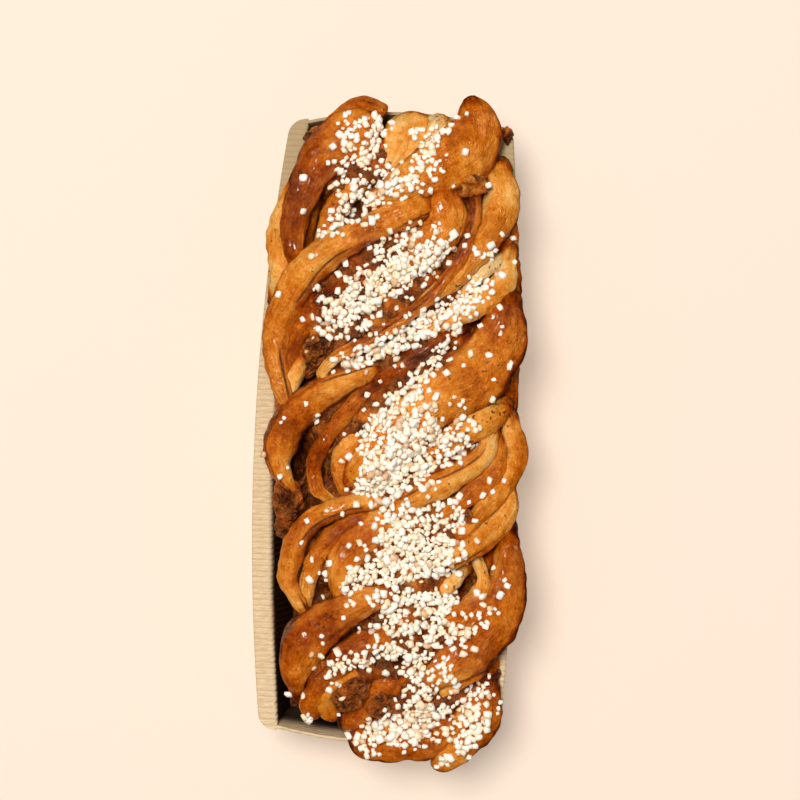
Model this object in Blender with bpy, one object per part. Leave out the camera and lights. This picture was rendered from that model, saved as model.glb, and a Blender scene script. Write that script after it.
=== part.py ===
"""Twisted cinnamon loaf with pearl sugar, baked in a folded paper loaf case.

The loaf is one solid: a core that fills the case, the folds of twisted dough
that lie over it, and the sugar grains that stick to its top. The case is a thin
open tray whose long walls turn out into two flanges with rounded ends. The
origin is at the middle of the case's underside, +Y runs along the loaf and
+Z is up. Sizes in the tables below are in millimetres.
"""
import math
import random
from collections import namedtuple

import bmesh
import bpy
from mathutils import Matrix, Vector
from mathutils.bvhtree import BVHTree

MM = 0.001

# Paper case
CASE_LENGTH = 246.0
CASE_HEIGHT = 50.0
CASE_HALF_WIDTH_TOP_END = 38.8
CASE_HALF_WIDTH_BOTTOM_END = 42.5
LEFT_WALL_BULGE = 8.0
RIGHT_WALL_BULGE = 4.5
END_WALL_BOW = 5.0
WALL_LEAN = 7.0
BOARD = 1.2
FLANGE_WIDTH = 6.3
FLANGE_LENGTH = 246.0
CASE_SIDE_STEPS = 20
CASE_END_STEPS = 8

# Loaf
CLEARANCE = 0.3
CROWN_HEIGHT = 72.0
SHOULDER_HEIGHT = 46.0
DOME_HALF_WIDTH = 57.0
DOME_ROUNDNESS = 2.2
DOME_FULL_TO = 85.0
DOME_FADE_LENGTH = 50.0
DOME_END_DROP = 0.5
CORE_HALF_LENGTH = 122.5
CORE_BELOW_DOME = 6.0
CORE_WALL_GAP = 0.6
CORE_LEFT_GAP = 6.0
CORE_LEFT_GAP_FROM_Y = 5.0
CORE_LEFT_GAP_FADE = 8.0
CORE_END_BLUNTNESS = 26
CORE_END_SWELL = 0.02
CORE_TOP_POWER = 0.6
CORE_BASE_POWER = 0.3
TUCK_DEPTH = 6.0
TUCK_REACH = 0.35
FOLD_SWELL = 1.1
FOLD_LEAN = 0.6
FOLD_END_ROUNDING = 0.13
FOLD_END_SWELL = 0.05
FOLD_FLATNESS = 0.45
FOLD_MAX_HALF_HEIGHT = 8.0
VOXEL = 1.8
DOUGH_TRIANGLES = 5100
ROOM_MARGIN = 60.0
ROOM_DEPTH = 20.0

# Pearl sugar
GRAIN_SEED = 11
GRAIN_COUNT = 165
GRAIN_LARGEST = 2.1
GRAIN_SMALLEST = 1.35
GRAIN_SPACING = 0.9
GRAIN_ABOVE_RIM = 5.0
GRAIN_LEAST_UPRIGHT = 0.45
GRAIN_TRIES_EACH = 40
GRAIN_POINTS = 9
GRAIN_JITTER = 0.35
GRAIN_STRETCH = (0.85, 1.12)
GRAIN_SQUASH = (1.15, 0.9, 0.85)
GRAIN_RAISE = 0.35
GOLDEN_ANGLE = math.pi * (3.0 - math.sqrt(5.0))

Fold = namedtuple("Fold", "path width lift")

# Each fold of dough: the plan of its ridge, its widths, spread evenly along the
# ridge, and how far its top stands over the loaf's dome.
FOLDS = {
    "top left edge": Fold(
        ((-6, 127), (-17, 129), (-29, 119), (-42, 96), (-49, 77), (-46, 65), (-48, 54)),
        (5, 7, 7, 6, 7, 11, 5), 0),
    "top left strand": Fold(
        ((-10, 124), (-20, 117), (-32, 106), (-39, 91), (-42, 78), (-40, 63)),
        (15, 22, 17, 12, 10, 5), 2),
    "inner left": Fold(
        ((-16, 97), (-24, 89), (-29, 79), (-31, 69)),
        (7, 9, 7, 4), -4),
    "top dome": Fold(
        ((8, 127), (5, 117), (0, 108), (-4, 100)),
        (22, 25, 18, 6), -3),
    "dome side": Fold(
        ((18, 126), (12, 117), (5, 106)),
        (12, 14, 8), -4),
    "top right lobe": Fold(
        ((27, 134), (30, 122), (24, 110), (7, 100), (-8, 91)),
        (6, 20, 25, 18, 8), 3),
    "long band": Fold(
        ((9, 88), (-14, 77), (-34, 63), (-44, 46), (-47, 29), (-43, 13), (-39, 5)),
        (12, 11, 14, 13, 10, 7, 3), 3),
    "shoulder": Fold(
        ((18, 94), (19, 83), (12, 72), (5, 64)),
        (12, 18, 12, 6), 1),
    "under band": Fold(
        ((-14, 58), (-29, 49), (-40, 35), (-42, 21), (-41, 10)),
        (7, 10, 9, 8, 6), -3),
    "gold lobe": Fold(
        ((-37, 24), (-40, 17), (-40, 9)),
        (5, 8, 4), -1),
    "strap": Fold(
        ((30, 93), (29, 81), (24, 66), (12, 51), (-7, 36), (-22, 28), (-28, 21), (-26, 17)),
        (5, 5, 5, 5, 6, 5, 4, 3), 0),
    "right upper": Fold(
        ((40, 104), (41, 91), (34, 76), (24, 62), (12, 51)),
        (9, 15, 13, 8, 5), 1),
    "pale ridge": Fold(
        ((41, 69), (36, 65), (27, 56)),
        (5, 6, 5), -1),
    "right second": Fold(
        ((45, 70), (43, 60), (32, 50), (15, 41)),
        (5, 11, 10, 6), 0),
    "pale inner": Fold(
        ((-10, 27), (-17, 23), (-24, 19)),
        (7, 9, 6), -4),
    "left second": Fold(
        ((-10, 22), (-28, 13), (-40, 2), (-44, -8), (-44, -17), (-39, -25)),
        (7, 13, 14, 14, 9, 4), 3),
    "dark ridge": Fold(
        ((25, 40), (5, 25), (-9, 16), (-18, 5), (-26, -6), (-30, -15), (-28, -25), (-22, -30)),
        (6, 5, 6, 6, 6, 6, 5, 4), -1),
    "golden edge": Fold(
        ((-10, -2), (-17, -9), (-19, -18), (-16, -27)),
        (6, 9, 8, 5), -2),
    "big strand": Fold(
        ((44, 52), (43, 38), (33, 22), (17, 11), (1, -4), (-13, -20)),
        (11, 21, 24, 20, 18, 13), 3),
    "spotted": Fold(
        ((43, 9), (38, 5), (29, 0), (17, -9)),
        (8, 13, 11, 7), 0),
    "right third": Fold(
        ((40, -2), (37, -10), (25, -19), (9, -28), (2, -33)),
        (6, 9, 11, 9, 6), 0),
    "brown band": Fold(
        ((44, -5), (42, -16), (31, -27), (22, -34)),
        (6, 8, 8, 5), -1),
    "right outer": Fold(
        ((48, 3), (51, -8), (47, -20), (39, -30), (30, -41)),
        (8, 9, 9, 8, 5), 0),
    "gold right": Fold(
        ((48, -22), (48, -31), (41, -41), (29, -50), (20, -54)),
        (6, 9, 11, 8, 4), 1),
    "left third": Fold(
        ((-4, -29), (-18, -32), (-31, -39), (-37, -51), (-38, -62), (-33, -71)),
        (6, 8, 9, 9, 8, 5), 3),
    "left third inner": Fold(
        ((-4, -34), (-17, -40), (-26, -49), (-30, -60), (-31, -71)),
        (6, 8, 7, 7, 4), -1),
    "middle fold": Fold(
        ((0, -35), (-12, -46), (-17, -57), (-18, -66)),
        (12, 16, 12, 6), 0),
    "small inner": Fold(
        ((30, -57), (25, -62), (19, -66)),
        (6, 7, 5), -3),
    "loop": Fold(
        ((37, -52), (39, -60), (35, -69), (26, -75)),
        (4, 6, 8, 6), -1),
    "left fourth": Fold(
        ((0, -66), (-15, -73), (-29, -84), (-34, -96), (-34, -106)),
        (8, 13, 19, 14, 4), 3),
    "left fourth inner": Fold(
        ((1, -82), (-11, -89), (-23, -100), (-28, -111), (-25, -117)),
        (10, 12, 8, 9, 8), 0),
    "swirl": Fold(
        ((8, -97), (-2, -105), (-11, -114), (-13, -122)),
        (11, 15, 14, 9), -3),
    "swirl edge": Fold(
        ((-10, -96), (-21, -102), (-22, -111), (-15, -119)),
        (5, 6, 6, 4), -3),
    "low right lobe": Fold(
        ((49, -42), (49, -58), (45, -73), (34, -87), (20, -99)),
        (7, 15, 21, 21, 9), 3),
    "thin ridge": Fold(
        ((39, -97), (31, -101), (22, -106)),
        (4, 5, 4), -2),
    "bottom lobe": Fold(
        ((-12, -126), (3, -125), (20, -124), (29, -116)),
        (14, 18, 16, 9), -2),
    "bottom right": Fold(
        ((43, -101), (40, -115), (32, -126), (23, -137)),
        (8, 18, 16, 7), -2),
    "right flank, upper": Fold(
        ((41, 98), (44, 60), (45, 0)),
        (8, 13, 11), -8),
    "right flank, lower": Fold(
        ((45, 0), (44, -50), (40, -106)),
        (12, 14, 10), -8),
    "left flank": Fold(
        ((-34, 102), (-42, 60), (-44, 20), (-40, -6)),
        (9, 11, 9, 7), -9),
    "filling clump": Fold(
        ((-41, -21), (-40, -31), (-37, -40)),
        (8, 12, 8), 0),
    "swirl clump": Fold(
        ((-18, -100), (-10, -106), (1, -110)),
        (8, 11, 8), 1),
}

# Where the sugar lies on the top: centre x and y, half length, half width, how
# many degrees the drift's length is turned from +X, and how densely it is strewn.
SUGAR_DRIFTS = (
    (-17, 106, 18, 9, 62, 0.50),
    (-6, 94, 8, 5, 42, 0.60),
    (-19, 87, 10, 5, 47, 0.55),
    (10, 103, 11, 4, 32, 0.40),
    (-2, 59, 21, 11, 32, 0.85),
    (-23, 48, 8, 5, 2, 0.60),
    (22, 45, 14, 6, 32, 0.60),
    (6, 37, 9, 5, 22, 0.80),
    (-8, 30, 9, 4, 32, 0.70),
    (35, 62, 14, 9, 62, 0.18),
    (13, 23, 13, 4, 47, 0.40),
    (4, 8, 14, 8, 47, 0.55),
    (9, -7, 21, 13, 27, 0.75),
    (-4, -21, 9, 8, 22, 0.70),
    (13, -33, 15, 6, 7, 0.45),
    (11, -48, 16, 10, 12, 0.80),
    (-7, -57, 12, 4, 37, 0.50),
    (12, -68, 15, 9, 2, 0.60),
    (15, -83, 16, 10, 2, 0.55),
    (16, -103, 10, 11, 2, 0.50),
    (-10, -90, 13, 3, 42, 0.40),
    (-19, -100, 4, 8, 2, 0.35),
    (7, -124, 15, 7, 12, 0.75),
    (38, -114, 7, 13, -13, 0.55),
    (38, -79, 10, 10, 47, 0.15),
)


def clear_scene():
    for item in list(bpy.data.objects):
        bpy.data.objects.remove(item, do_unlink=True)


def finish(name, colour, roughness):
    """A material of one even colour, with the gloss of the piece's surface."""
    material = bpy.data.materials.new(name)
    material.use_nodes = True
    shader = material.node_tree.nodes["Principled BSDF"]
    shader.inputs["Base Color"].default_value = (*colour, 1.0)
    shader.inputs["Roughness"].default_value = roughness
    shader.inputs["Metallic"].default_value = 0.0
    return material


def add_object(name, points, faces):
    """A new object from points in millimetres, with its faces turned outwards."""
    mesh = bpy.data.meshes.new(name)
    shape = bmesh.new()
    vertices = [shape.verts.new(Vector(point) * MM) for point in points]
    for face in faces:
        shape.faces.new([vertices[index] for index in face])
    bmesh.ops.remove_doubles(shape, verts=shape.verts, dist=0.01 * MM)
    bmesh.ops.recalc_face_normals(shape, faces=shape.faces)
    shape.to_mesh(mesh)
    shape.free()
    item = bpy.data.objects.new(name, mesh)
    bpy.context.scene.collection.objects.link(item)
    return item


def loft(loops):
    """Points and faces of the closed skin through equal loops, capped at both ends."""
    count = len(loops[0])
    points = [point for loop in loops for point in loop]
    faces = [tuple(range(count))[::-1]]
    for row in range(len(loops) - 1):
        for step in range(count):
            after = (step + 1) % count
            near = row * count
            far = near + count
            faces.append((near + step, near + after, far + after))
            faces.append((near + step, far + after, far + step))
    last = (len(loops) - 1) * count
    faces.append(tuple(last + step for step in range(count)))
    return points, faces


def case_outline(height, inset=0.0, ledge=False):
    """The case's outline at a height, moved in by an inset, as a loop seen from above.

    The long walls bulge and the end walls bow more the higher they are, and all
    four lean outwards. With ledge set, the long sides go out to the flange's edge.
    """
    rise = height / CASE_HEIGHT
    narrowing = WALL_LEAN * (1.0 - rise) + inset
    half_length = CASE_LENGTH / 2 - narrowing
    middle = (CASE_HALF_WIDTH_TOP_END + CASE_HALF_WIDTH_BOTTOM_END) / 2
    slope = (CASE_HALF_WIDTH_TOP_END - CASE_HALF_WIDTH_BOTTOM_END) / CASE_LENGTH

    def half_width(y, bulge):
        along = min(1.0, abs(y) / (CASE_LENGTH / 2))
        return middle + slope * y + bulge * rise * (1.0 - along * along) - narrowing

    def flange(y):
        past = abs(y) - (FLANGE_LENGTH / 2 - FLANGE_WIDTH)
        if not ledge or past >= FLANGE_WIDTH:
            return 0.0
        return FLANGE_WIDTH * math.sqrt(1.0 - (max(past, 0.0) / FLANGE_WIDTH) ** 2)

    def side(sign, bulge):
        line = []
        for step in range(CASE_SIDE_STEPS):
            turn = math.pi * (step / CASE_SIDE_STEPS - 0.5)
            y = sign * half_length * math.sin(turn)
            line.append((sign * (half_width(y, bulge) + flange(y)), y, height))
        return line

    def end(sign):
        y = sign * half_length
        start = sign * half_width(y, 0.0)
        line = []
        for step in range(CASE_END_STEPS):
            across = 1.0 - 2.0 * step / CASE_END_STEPS
            bow = END_WALL_BOW * rise * (1.0 - across * across)
            line.append((start * across, y + sign * bow, height))
        return line

    return side(1, RIGHT_WALL_BULGE) + end(1) + side(-1, LEFT_WALL_BULGE) + end(-1)


def make_case():
    """The open tray: up its outside, round the flanges, and down its inside."""
    loops = (
        case_outline(0.0),
        case_outline(CASE_HEIGHT - BOARD),
        case_outline(CASE_HEIGHT - BOARD, ledge=True),
        case_outline(CASE_HEIGHT, ledge=True),
        case_outline(CASE_HEIGHT, inset=BOARD),
        case_outline(BOARD, inset=BOARD),
    )
    return add_object("paper_case", *loft(loops))


def make_case_room():
    """A block with a pocket: all that the loaf has to keep out of, under the rim."""
    rim = CASE_HEIGHT + CLEARANCE
    floor = BOARD + CLEARANCE
    around = case_outline(CASE_HEIGHT, inset=-ROOM_MARGIN)
    loops = (
        [(x, y, -ROOM_DEPTH) for x, y, _ in around],
        [(x, y, rim) for x, y, _ in around],
        [(x, y, rim) for x, y, _ in case_outline(CASE_HEIGHT, inset=BOARD + CLEARANCE)],
        case_outline(floor, inset=BOARD + CLEARANCE),
    )
    block = add_object("case_room", *loft(loops))
    block.hide_render = True
    block.display_type = "WIRE"
    return block


def dome(x, y):
    """Height of the loaf's even dome over a point of the plan."""
    past = min(max((abs(y) - DOME_FULL_TO) / DOME_FADE_LENGTH, 0.0), 1.0)
    fade = 1.0 - DOME_END_DROP * past ** 1.5
    across = min(abs(x) / DOME_HALF_WIDTH, 0.999) ** DOME_ROUNDNESS
    return SHOULDER_HEIGHT + (CROWN_HEIGHT - SHOULDER_HEIGHT) * math.sqrt(1.0 - across) * fade


def smooth_path(points, steps):
    """Points at even parameter steps on the Catmull-Rom curve through the given ones."""
    first = 2.0 * Vector(points[0]) - Vector(points[1])
    last = 2.0 * Vector(points[-1]) - Vector(points[-2])
    knots = [first] + [Vector(point) for point in points] + [last]
    spans = len(points) - 1
    line = []
    for step in range(steps + 1):
        place = min(step / steps * spans, spans - 1e-6)
        span = int(place)
        t = place - span
        a, b, c, d = knots[span:span + 4]
        curve = 2 * b + (c - a) * t
        curve += (2 * a - 5 * b + 4 * c - d) * t ** 2
        curve += (3 * (b - c) + d - a) * t ** 3
        line.append(0.5 * curve)
    return line


def spread(values, share):
    """The value at a share of the way through values that are spread evenly."""
    place = share * (len(values) - 1)
    index = min(int(place), len(values) - 2)
    return values[index] + (values[index + 1] - values[index]) * (place - index)


def fold_loops(fold, steps=30, sides=12):
    """Elliptic rings along a fold's ridge, which sink and round off at both ends."""
    plan = smooth_path(fold.path, steps)
    loops = []
    for step, place in enumerate(plan):
        along = step / steps
        width = FOLD_SWELL * spread(fold.width, along)
        to_end = 2.0 * min(along, 1.0 - along)
        rounded = 1.0 - min(to_end / FOLD_END_ROUNDING, 1.0)
        rounding = max(math.sqrt(1.0 - rounded ** 2), FOLD_END_SWELL)
        half_height = min(FOLD_FLATNESS * width, FOLD_MAX_HALF_HEIGHT)
        tuck = TUCK_DEPTH * (1.0 - min(to_end / TUCK_REACH, 1.0)) ** 2
        top = dome(place.x, place.y) + fold.lift - tuck
        centre = Vector((place.x, place.y, top - half_height))
        ahead = (plan[min(step + 1, steps)] - plan[max(step - 1, 0)]).normalized()
        aside = Vector((ahead.y, -ahead.x, 0.0))
        slope = (dome(place.x + 1, place.y) - dome(place.x - 1, place.y)) / 2
        lean = Vector((-FOLD_LEAN * slope, 0.0, 1.0)).normalized()
        aside = (aside - lean * aside.dot(lean)).normalized()
        ring = []
        for side in range(sides):
            turn = 2 * math.pi * side / sides
            out = aside * math.cos(turn) * width / 2 + lean * math.sin(turn) * half_height
            ring.append(centre + out * rounding)
        loops.append(ring)
    return loops


def core_loops(steps=40, sides=40):
    """Rings along the core: a flat base with rounded edges, and a domed top."""
    loops = []
    for step in range(steps + 1):
        turn = math.pi * (step / steps - 0.5)
        y = CORE_HALF_LENGTH * math.sin(turn)
        swell = math.sqrt(max(1.0 - abs(math.sin(turn)) ** CORE_END_BLUNTNESS, 0.0))
        swell = max(swell, CORE_END_SWELL)
        lower_part = 1.0 / (1.0 + math.exp((y - CORE_LEFT_GAP_FROM_Y) / CORE_LEFT_GAP_FADE))
        middle = (CASE_HALF_WIDTH_TOP_END + CASE_HALF_WIDTH_BOTTOM_END) / 2
        taper = (CASE_HALF_WIDTH_TOP_END - CASE_HALF_WIDTH_BOTTOM_END) / CASE_LENGTH
        bulge = 1.0 - (y / (CASE_LENGTH / 2)) ** 2
        reach = middle + taper * y - BOARD - CLEARANCE
        right = reach + RIGHT_WALL_BULGE * bulge - CORE_WALL_GAP
        left = reach + LEFT_WALL_BULGE * bulge - CORE_WALL_GAP - CORE_LEFT_GAP * lower_part
        ring = []
        for side in range(sides):
            angle = 2 * math.pi * side / sides
            cosine = math.cos(angle)
            sine = math.sin(angle)
            power = CORE_TOP_POWER if sine > 0 else CORE_BASE_POWER
            reach = right if cosine > 0 else left
            x = math.copysign(abs(cosine) ** power, cosine) * reach * swell
            top = dome(x, y) - CORE_BELOW_DOME
            base = BOARD + CLEARANCE
            middle_height = (top + base) / 2
            z = middle_height + math.copysign(abs(sine) ** power, sine) * (top - base) / 2 * swell
            lean_in = WALL_LEAN * (1.0 - min(z / CASE_HEIGHT, 1.0)) * abs(x) / reach
            ring.append(Vector((x - math.copysign(lean_in, x), y, z)))
        loops.append(ring)
    return loops


def applied(item):
    """Replace an object's mesh by what its modifiers make of it."""
    graph = bpy.context.evaluated_depsgraph_get()
    result = bpy.data.meshes.new_from_object(item.evaluated_get(graph))
    item.modifiers.clear()
    item.data = result
    return item


def keep_outer_skin(item):
    """Keep the one connected skin that reaches furthest, without scraps or sealed hollows."""
    shape = bmesh.new()
    shape.from_mesh(item.data)
    bmesh.ops.remove_doubles(shape, verts=shape.verts, dist=0.005 * MM)
    left = set(shape.verts)
    islands = []
    while left:
        stack = [left.pop()]
        island = set(stack)
        while stack:
            for edge in stack.pop().link_edges:
                for vertex in edge.verts:
                    if vertex in left:
                        left.remove(vertex)
                        island.add(vertex)
                        stack.append(vertex)
        islands.append(island)
    largest = max(islands, key=len)
    loose = [vertex for island in islands if island is not largest for vertex in island]
    bmesh.ops.delete(shape, geom=loose, context="VERTS")
    shape.to_mesh(item.data)
    shape.free()


def triangle_count(item):
    item.data.calc_loop_triangles()
    return len(item.data.loop_triangles)


def make_dough():
    """Core and folds grown into one skin, smoothed, and thinned to few triangles."""
    points = []
    faces = []
    for loops in [core_loops()] + [fold_loops(fold) for fold in FOLDS.values()]:
        new_points, new_faces = loft(loops)
        offset = len(points)
        points += new_points
        faces += [tuple(index + offset for index in face) for face in new_faces]
    loaf = add_object("loaf", points, faces)

    skin = loaf.modifiers.new("one skin", "REMESH")
    skin.mode = "VOXEL"
    skin.voxel_size = VOXEL * MM
    soften = loaf.modifiers.new("soften", "SMOOTH")
    soften.factor = 0.5
    soften.iterations = 3
    applied(loaf)
    keep_outer_skin(loaf)

    thin = loaf.modifiers.new("thin", "DECIMATE")
    thin.ratio = DOUGH_TRIANGLES / triangle_count(loaf)
    applied(loaf)

    room = make_case_room()
    cut = loaf.modifiers.new("clear of the case", "BOOLEAN")
    cut.operation = "DIFFERENCE"
    cut.solver = "EXACT"
    cut.object = room
    applied(loaf)
    bpy.data.objects.remove(room, do_unlink=True)
    keep_outer_skin(loaf)
    return loaf


def grain_places(loaf):
    """Seeded places on the loaf's top for the grains, largest first and never touching."""
    draw = random.Random(GRAIN_SEED)
    tree = BVHTree.FromObject(loaf, bpy.context.evaluated_depsgraph_get())
    weights = [drift[2] * drift[3] * drift[5] for drift in SUGAR_DRIFTS]
    places = []
    tries = 0
    while len(places) < GRAIN_COUNT and tries < GRAIN_TRIES_EACH * GRAIN_COUNT:
        tries += 1
        x, y, length, width, lean, _ = draw.choices(SUGAR_DRIFTS, weights)[0]
        reach = math.sqrt(draw.random())
        turn = draw.uniform(0.0, 2 * math.pi)
        along = length * reach * math.cos(turn)
        across = width * reach * math.sin(turn)
        tilt = math.radians(lean)
        spot_x = x + along * math.cos(tilt) - across * math.sin(tilt)
        spot_y = y + along * math.sin(tilt) + across * math.cos(tilt)
        share = len(places) / GRAIN_COUNT
        radius = GRAIN_LARGEST + (GRAIN_SMALLEST - GRAIN_LARGEST) * share
        above = Vector((spot_x, spot_y, 2 * CROWN_HEIGHT)) * MM
        spot, normal, _, _ = tree.ray_cast(above, Vector((0.0, 0.0, -1.0)))
        if spot is None or normal.z < GRAIN_LEAST_UPRIGHT:
            continue
        if spot.z < (CASE_HEIGHT + GRAIN_ABOVE_RIM) * MM:
            continue
        spot = spot / MM
        room = GRAIN_SPACING + radius
        if all((spot - other).length > room + size for other, size, _ in places):
            places.append((spot, radius, normal))
    return places


def make_grain(number, spot, radius, normal, draw):
    """One grain: the convex hull of a few points on a squat, uneven ball."""
    points = []
    for step in range(GRAIN_POINTS):
        height = 1.0 - 2.0 * (step + 0.5) / GRAIN_POINTS
        turn = GOLDEN_ANGLE * step + draw.uniform(-GRAIN_JITTER, GRAIN_JITTER)
        ring = math.sqrt(1.0 - height * height)
        stretch = draw.uniform(*GRAIN_STRETCH)
        points.append(Vector((ring * math.cos(turn), ring * math.sin(turn), height)) * stretch)
    squash = Matrix.Diagonal(GRAIN_SQUASH)
    spin = Matrix.Rotation(draw.uniform(0.0, math.pi), 3, "Z")
    upright = normal.to_track_quat("Z", "Y").to_matrix()
    centre = spot + normal * GRAIN_RAISE * radius
    shape = bmesh.new()
    for point in points:
        shape.verts.new((centre + upright @ spin @ squash @ point * radius) * MM)
    bmesh.ops.convex_hull(shape, input=shape.verts)
    mesh = bpy.data.meshes.new(f"grain_{number}")
    shape.to_mesh(mesh)
    shape.free()
    return bpy.data.objects.new(f"grain_{number}", mesh)


def strew_sugar(loaf):
    """Fuse the grains to the loaf."""
    draw = random.Random(GRAIN_SEED + 1)
    grains = bpy.data.collections.new("sugar grains")
    bpy.context.scene.collection.children.link(grains)
    for number, (spot, radius, normal) in enumerate(grain_places(loaf)):
        grains.objects.link(make_grain(number, spot, radius, normal, draw))
    fuse = loaf.modifiers.new("sugar", "BOOLEAN")
    fuse.operation = "UNION"
    fuse.solver = "MANIFOLD"
    fuse.operand_type = "COLLECTION"
    fuse.collection = grains
    applied(loaf)
    for grain in list(grains.objects):
        bpy.data.objects.remove(grain, do_unlink=True)
    bpy.data.collections.remove(grains)
    keep_outer_skin(loaf)


def main():
    clear_scene()
    case = make_case()
    case.data.materials.append(finish("kraft paper", (0.62, 0.42, 0.22), 0.8))
    loaf = make_dough()
    strew_sugar(loaf)
    loaf.data.materials.clear()
    loaf.data.materials.append(finish("baked crust", (0.46, 0.15, 0.03), 0.35))
    loaf.data.shade_smooth()
    loaf.data.set_sharp_from_angle(angle=math.radians(50.0))
    print("triangles:", triangle_count(case), triangle_count(loaf))


main()
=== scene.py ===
"""Looks of a twisted cinnamon loaf with pearl sugar in its fluted paper case.

The dough is a core with forty folds over it, each a profile carried along a
curve. Sticky filling, grains of pearl sugar and the folded paper case are
separate pieces. Tables are in millimetres, properties and meshes in metres.
"""
import math
from collections import namedtuple

import bmesh
import bpy
import numpy as np
from bpy.props import FloatProperty, FloatVectorProperty, IntProperty, PointerProperty
from bpy.types import Operator, Panel, PropertyGroup
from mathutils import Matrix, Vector
from mathutils.bvhtree import BVHTree


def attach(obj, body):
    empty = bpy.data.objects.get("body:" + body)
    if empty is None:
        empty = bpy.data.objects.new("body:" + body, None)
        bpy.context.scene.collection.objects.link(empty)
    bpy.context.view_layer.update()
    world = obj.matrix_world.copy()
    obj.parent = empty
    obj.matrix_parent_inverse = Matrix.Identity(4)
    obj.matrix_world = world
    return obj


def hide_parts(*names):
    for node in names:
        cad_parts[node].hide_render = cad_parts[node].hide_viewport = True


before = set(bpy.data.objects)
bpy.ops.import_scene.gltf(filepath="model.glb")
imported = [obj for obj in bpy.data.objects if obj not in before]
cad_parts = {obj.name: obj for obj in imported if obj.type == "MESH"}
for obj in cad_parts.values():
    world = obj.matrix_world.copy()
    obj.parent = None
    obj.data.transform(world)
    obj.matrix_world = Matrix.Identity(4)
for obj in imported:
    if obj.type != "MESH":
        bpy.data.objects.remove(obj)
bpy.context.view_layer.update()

bl_info = {
    "name": "Cinnamon loaf in a paper case",
    "version": (1, 0, 0),
    "blender": (4, 5, 0),
    "location": "View3D > Sidebar > Loaf",
    "description": "Builds a twisted cinnamon loaf with pearl sugar, its paper case and a plain stage",
    "category": "Add Mesh",
}

MM = 0.001

Fold = namedtuple(
    "Fold", "name part path width lift bake open_start open_end split spots", defaults=(0.0, 0.3))

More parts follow.
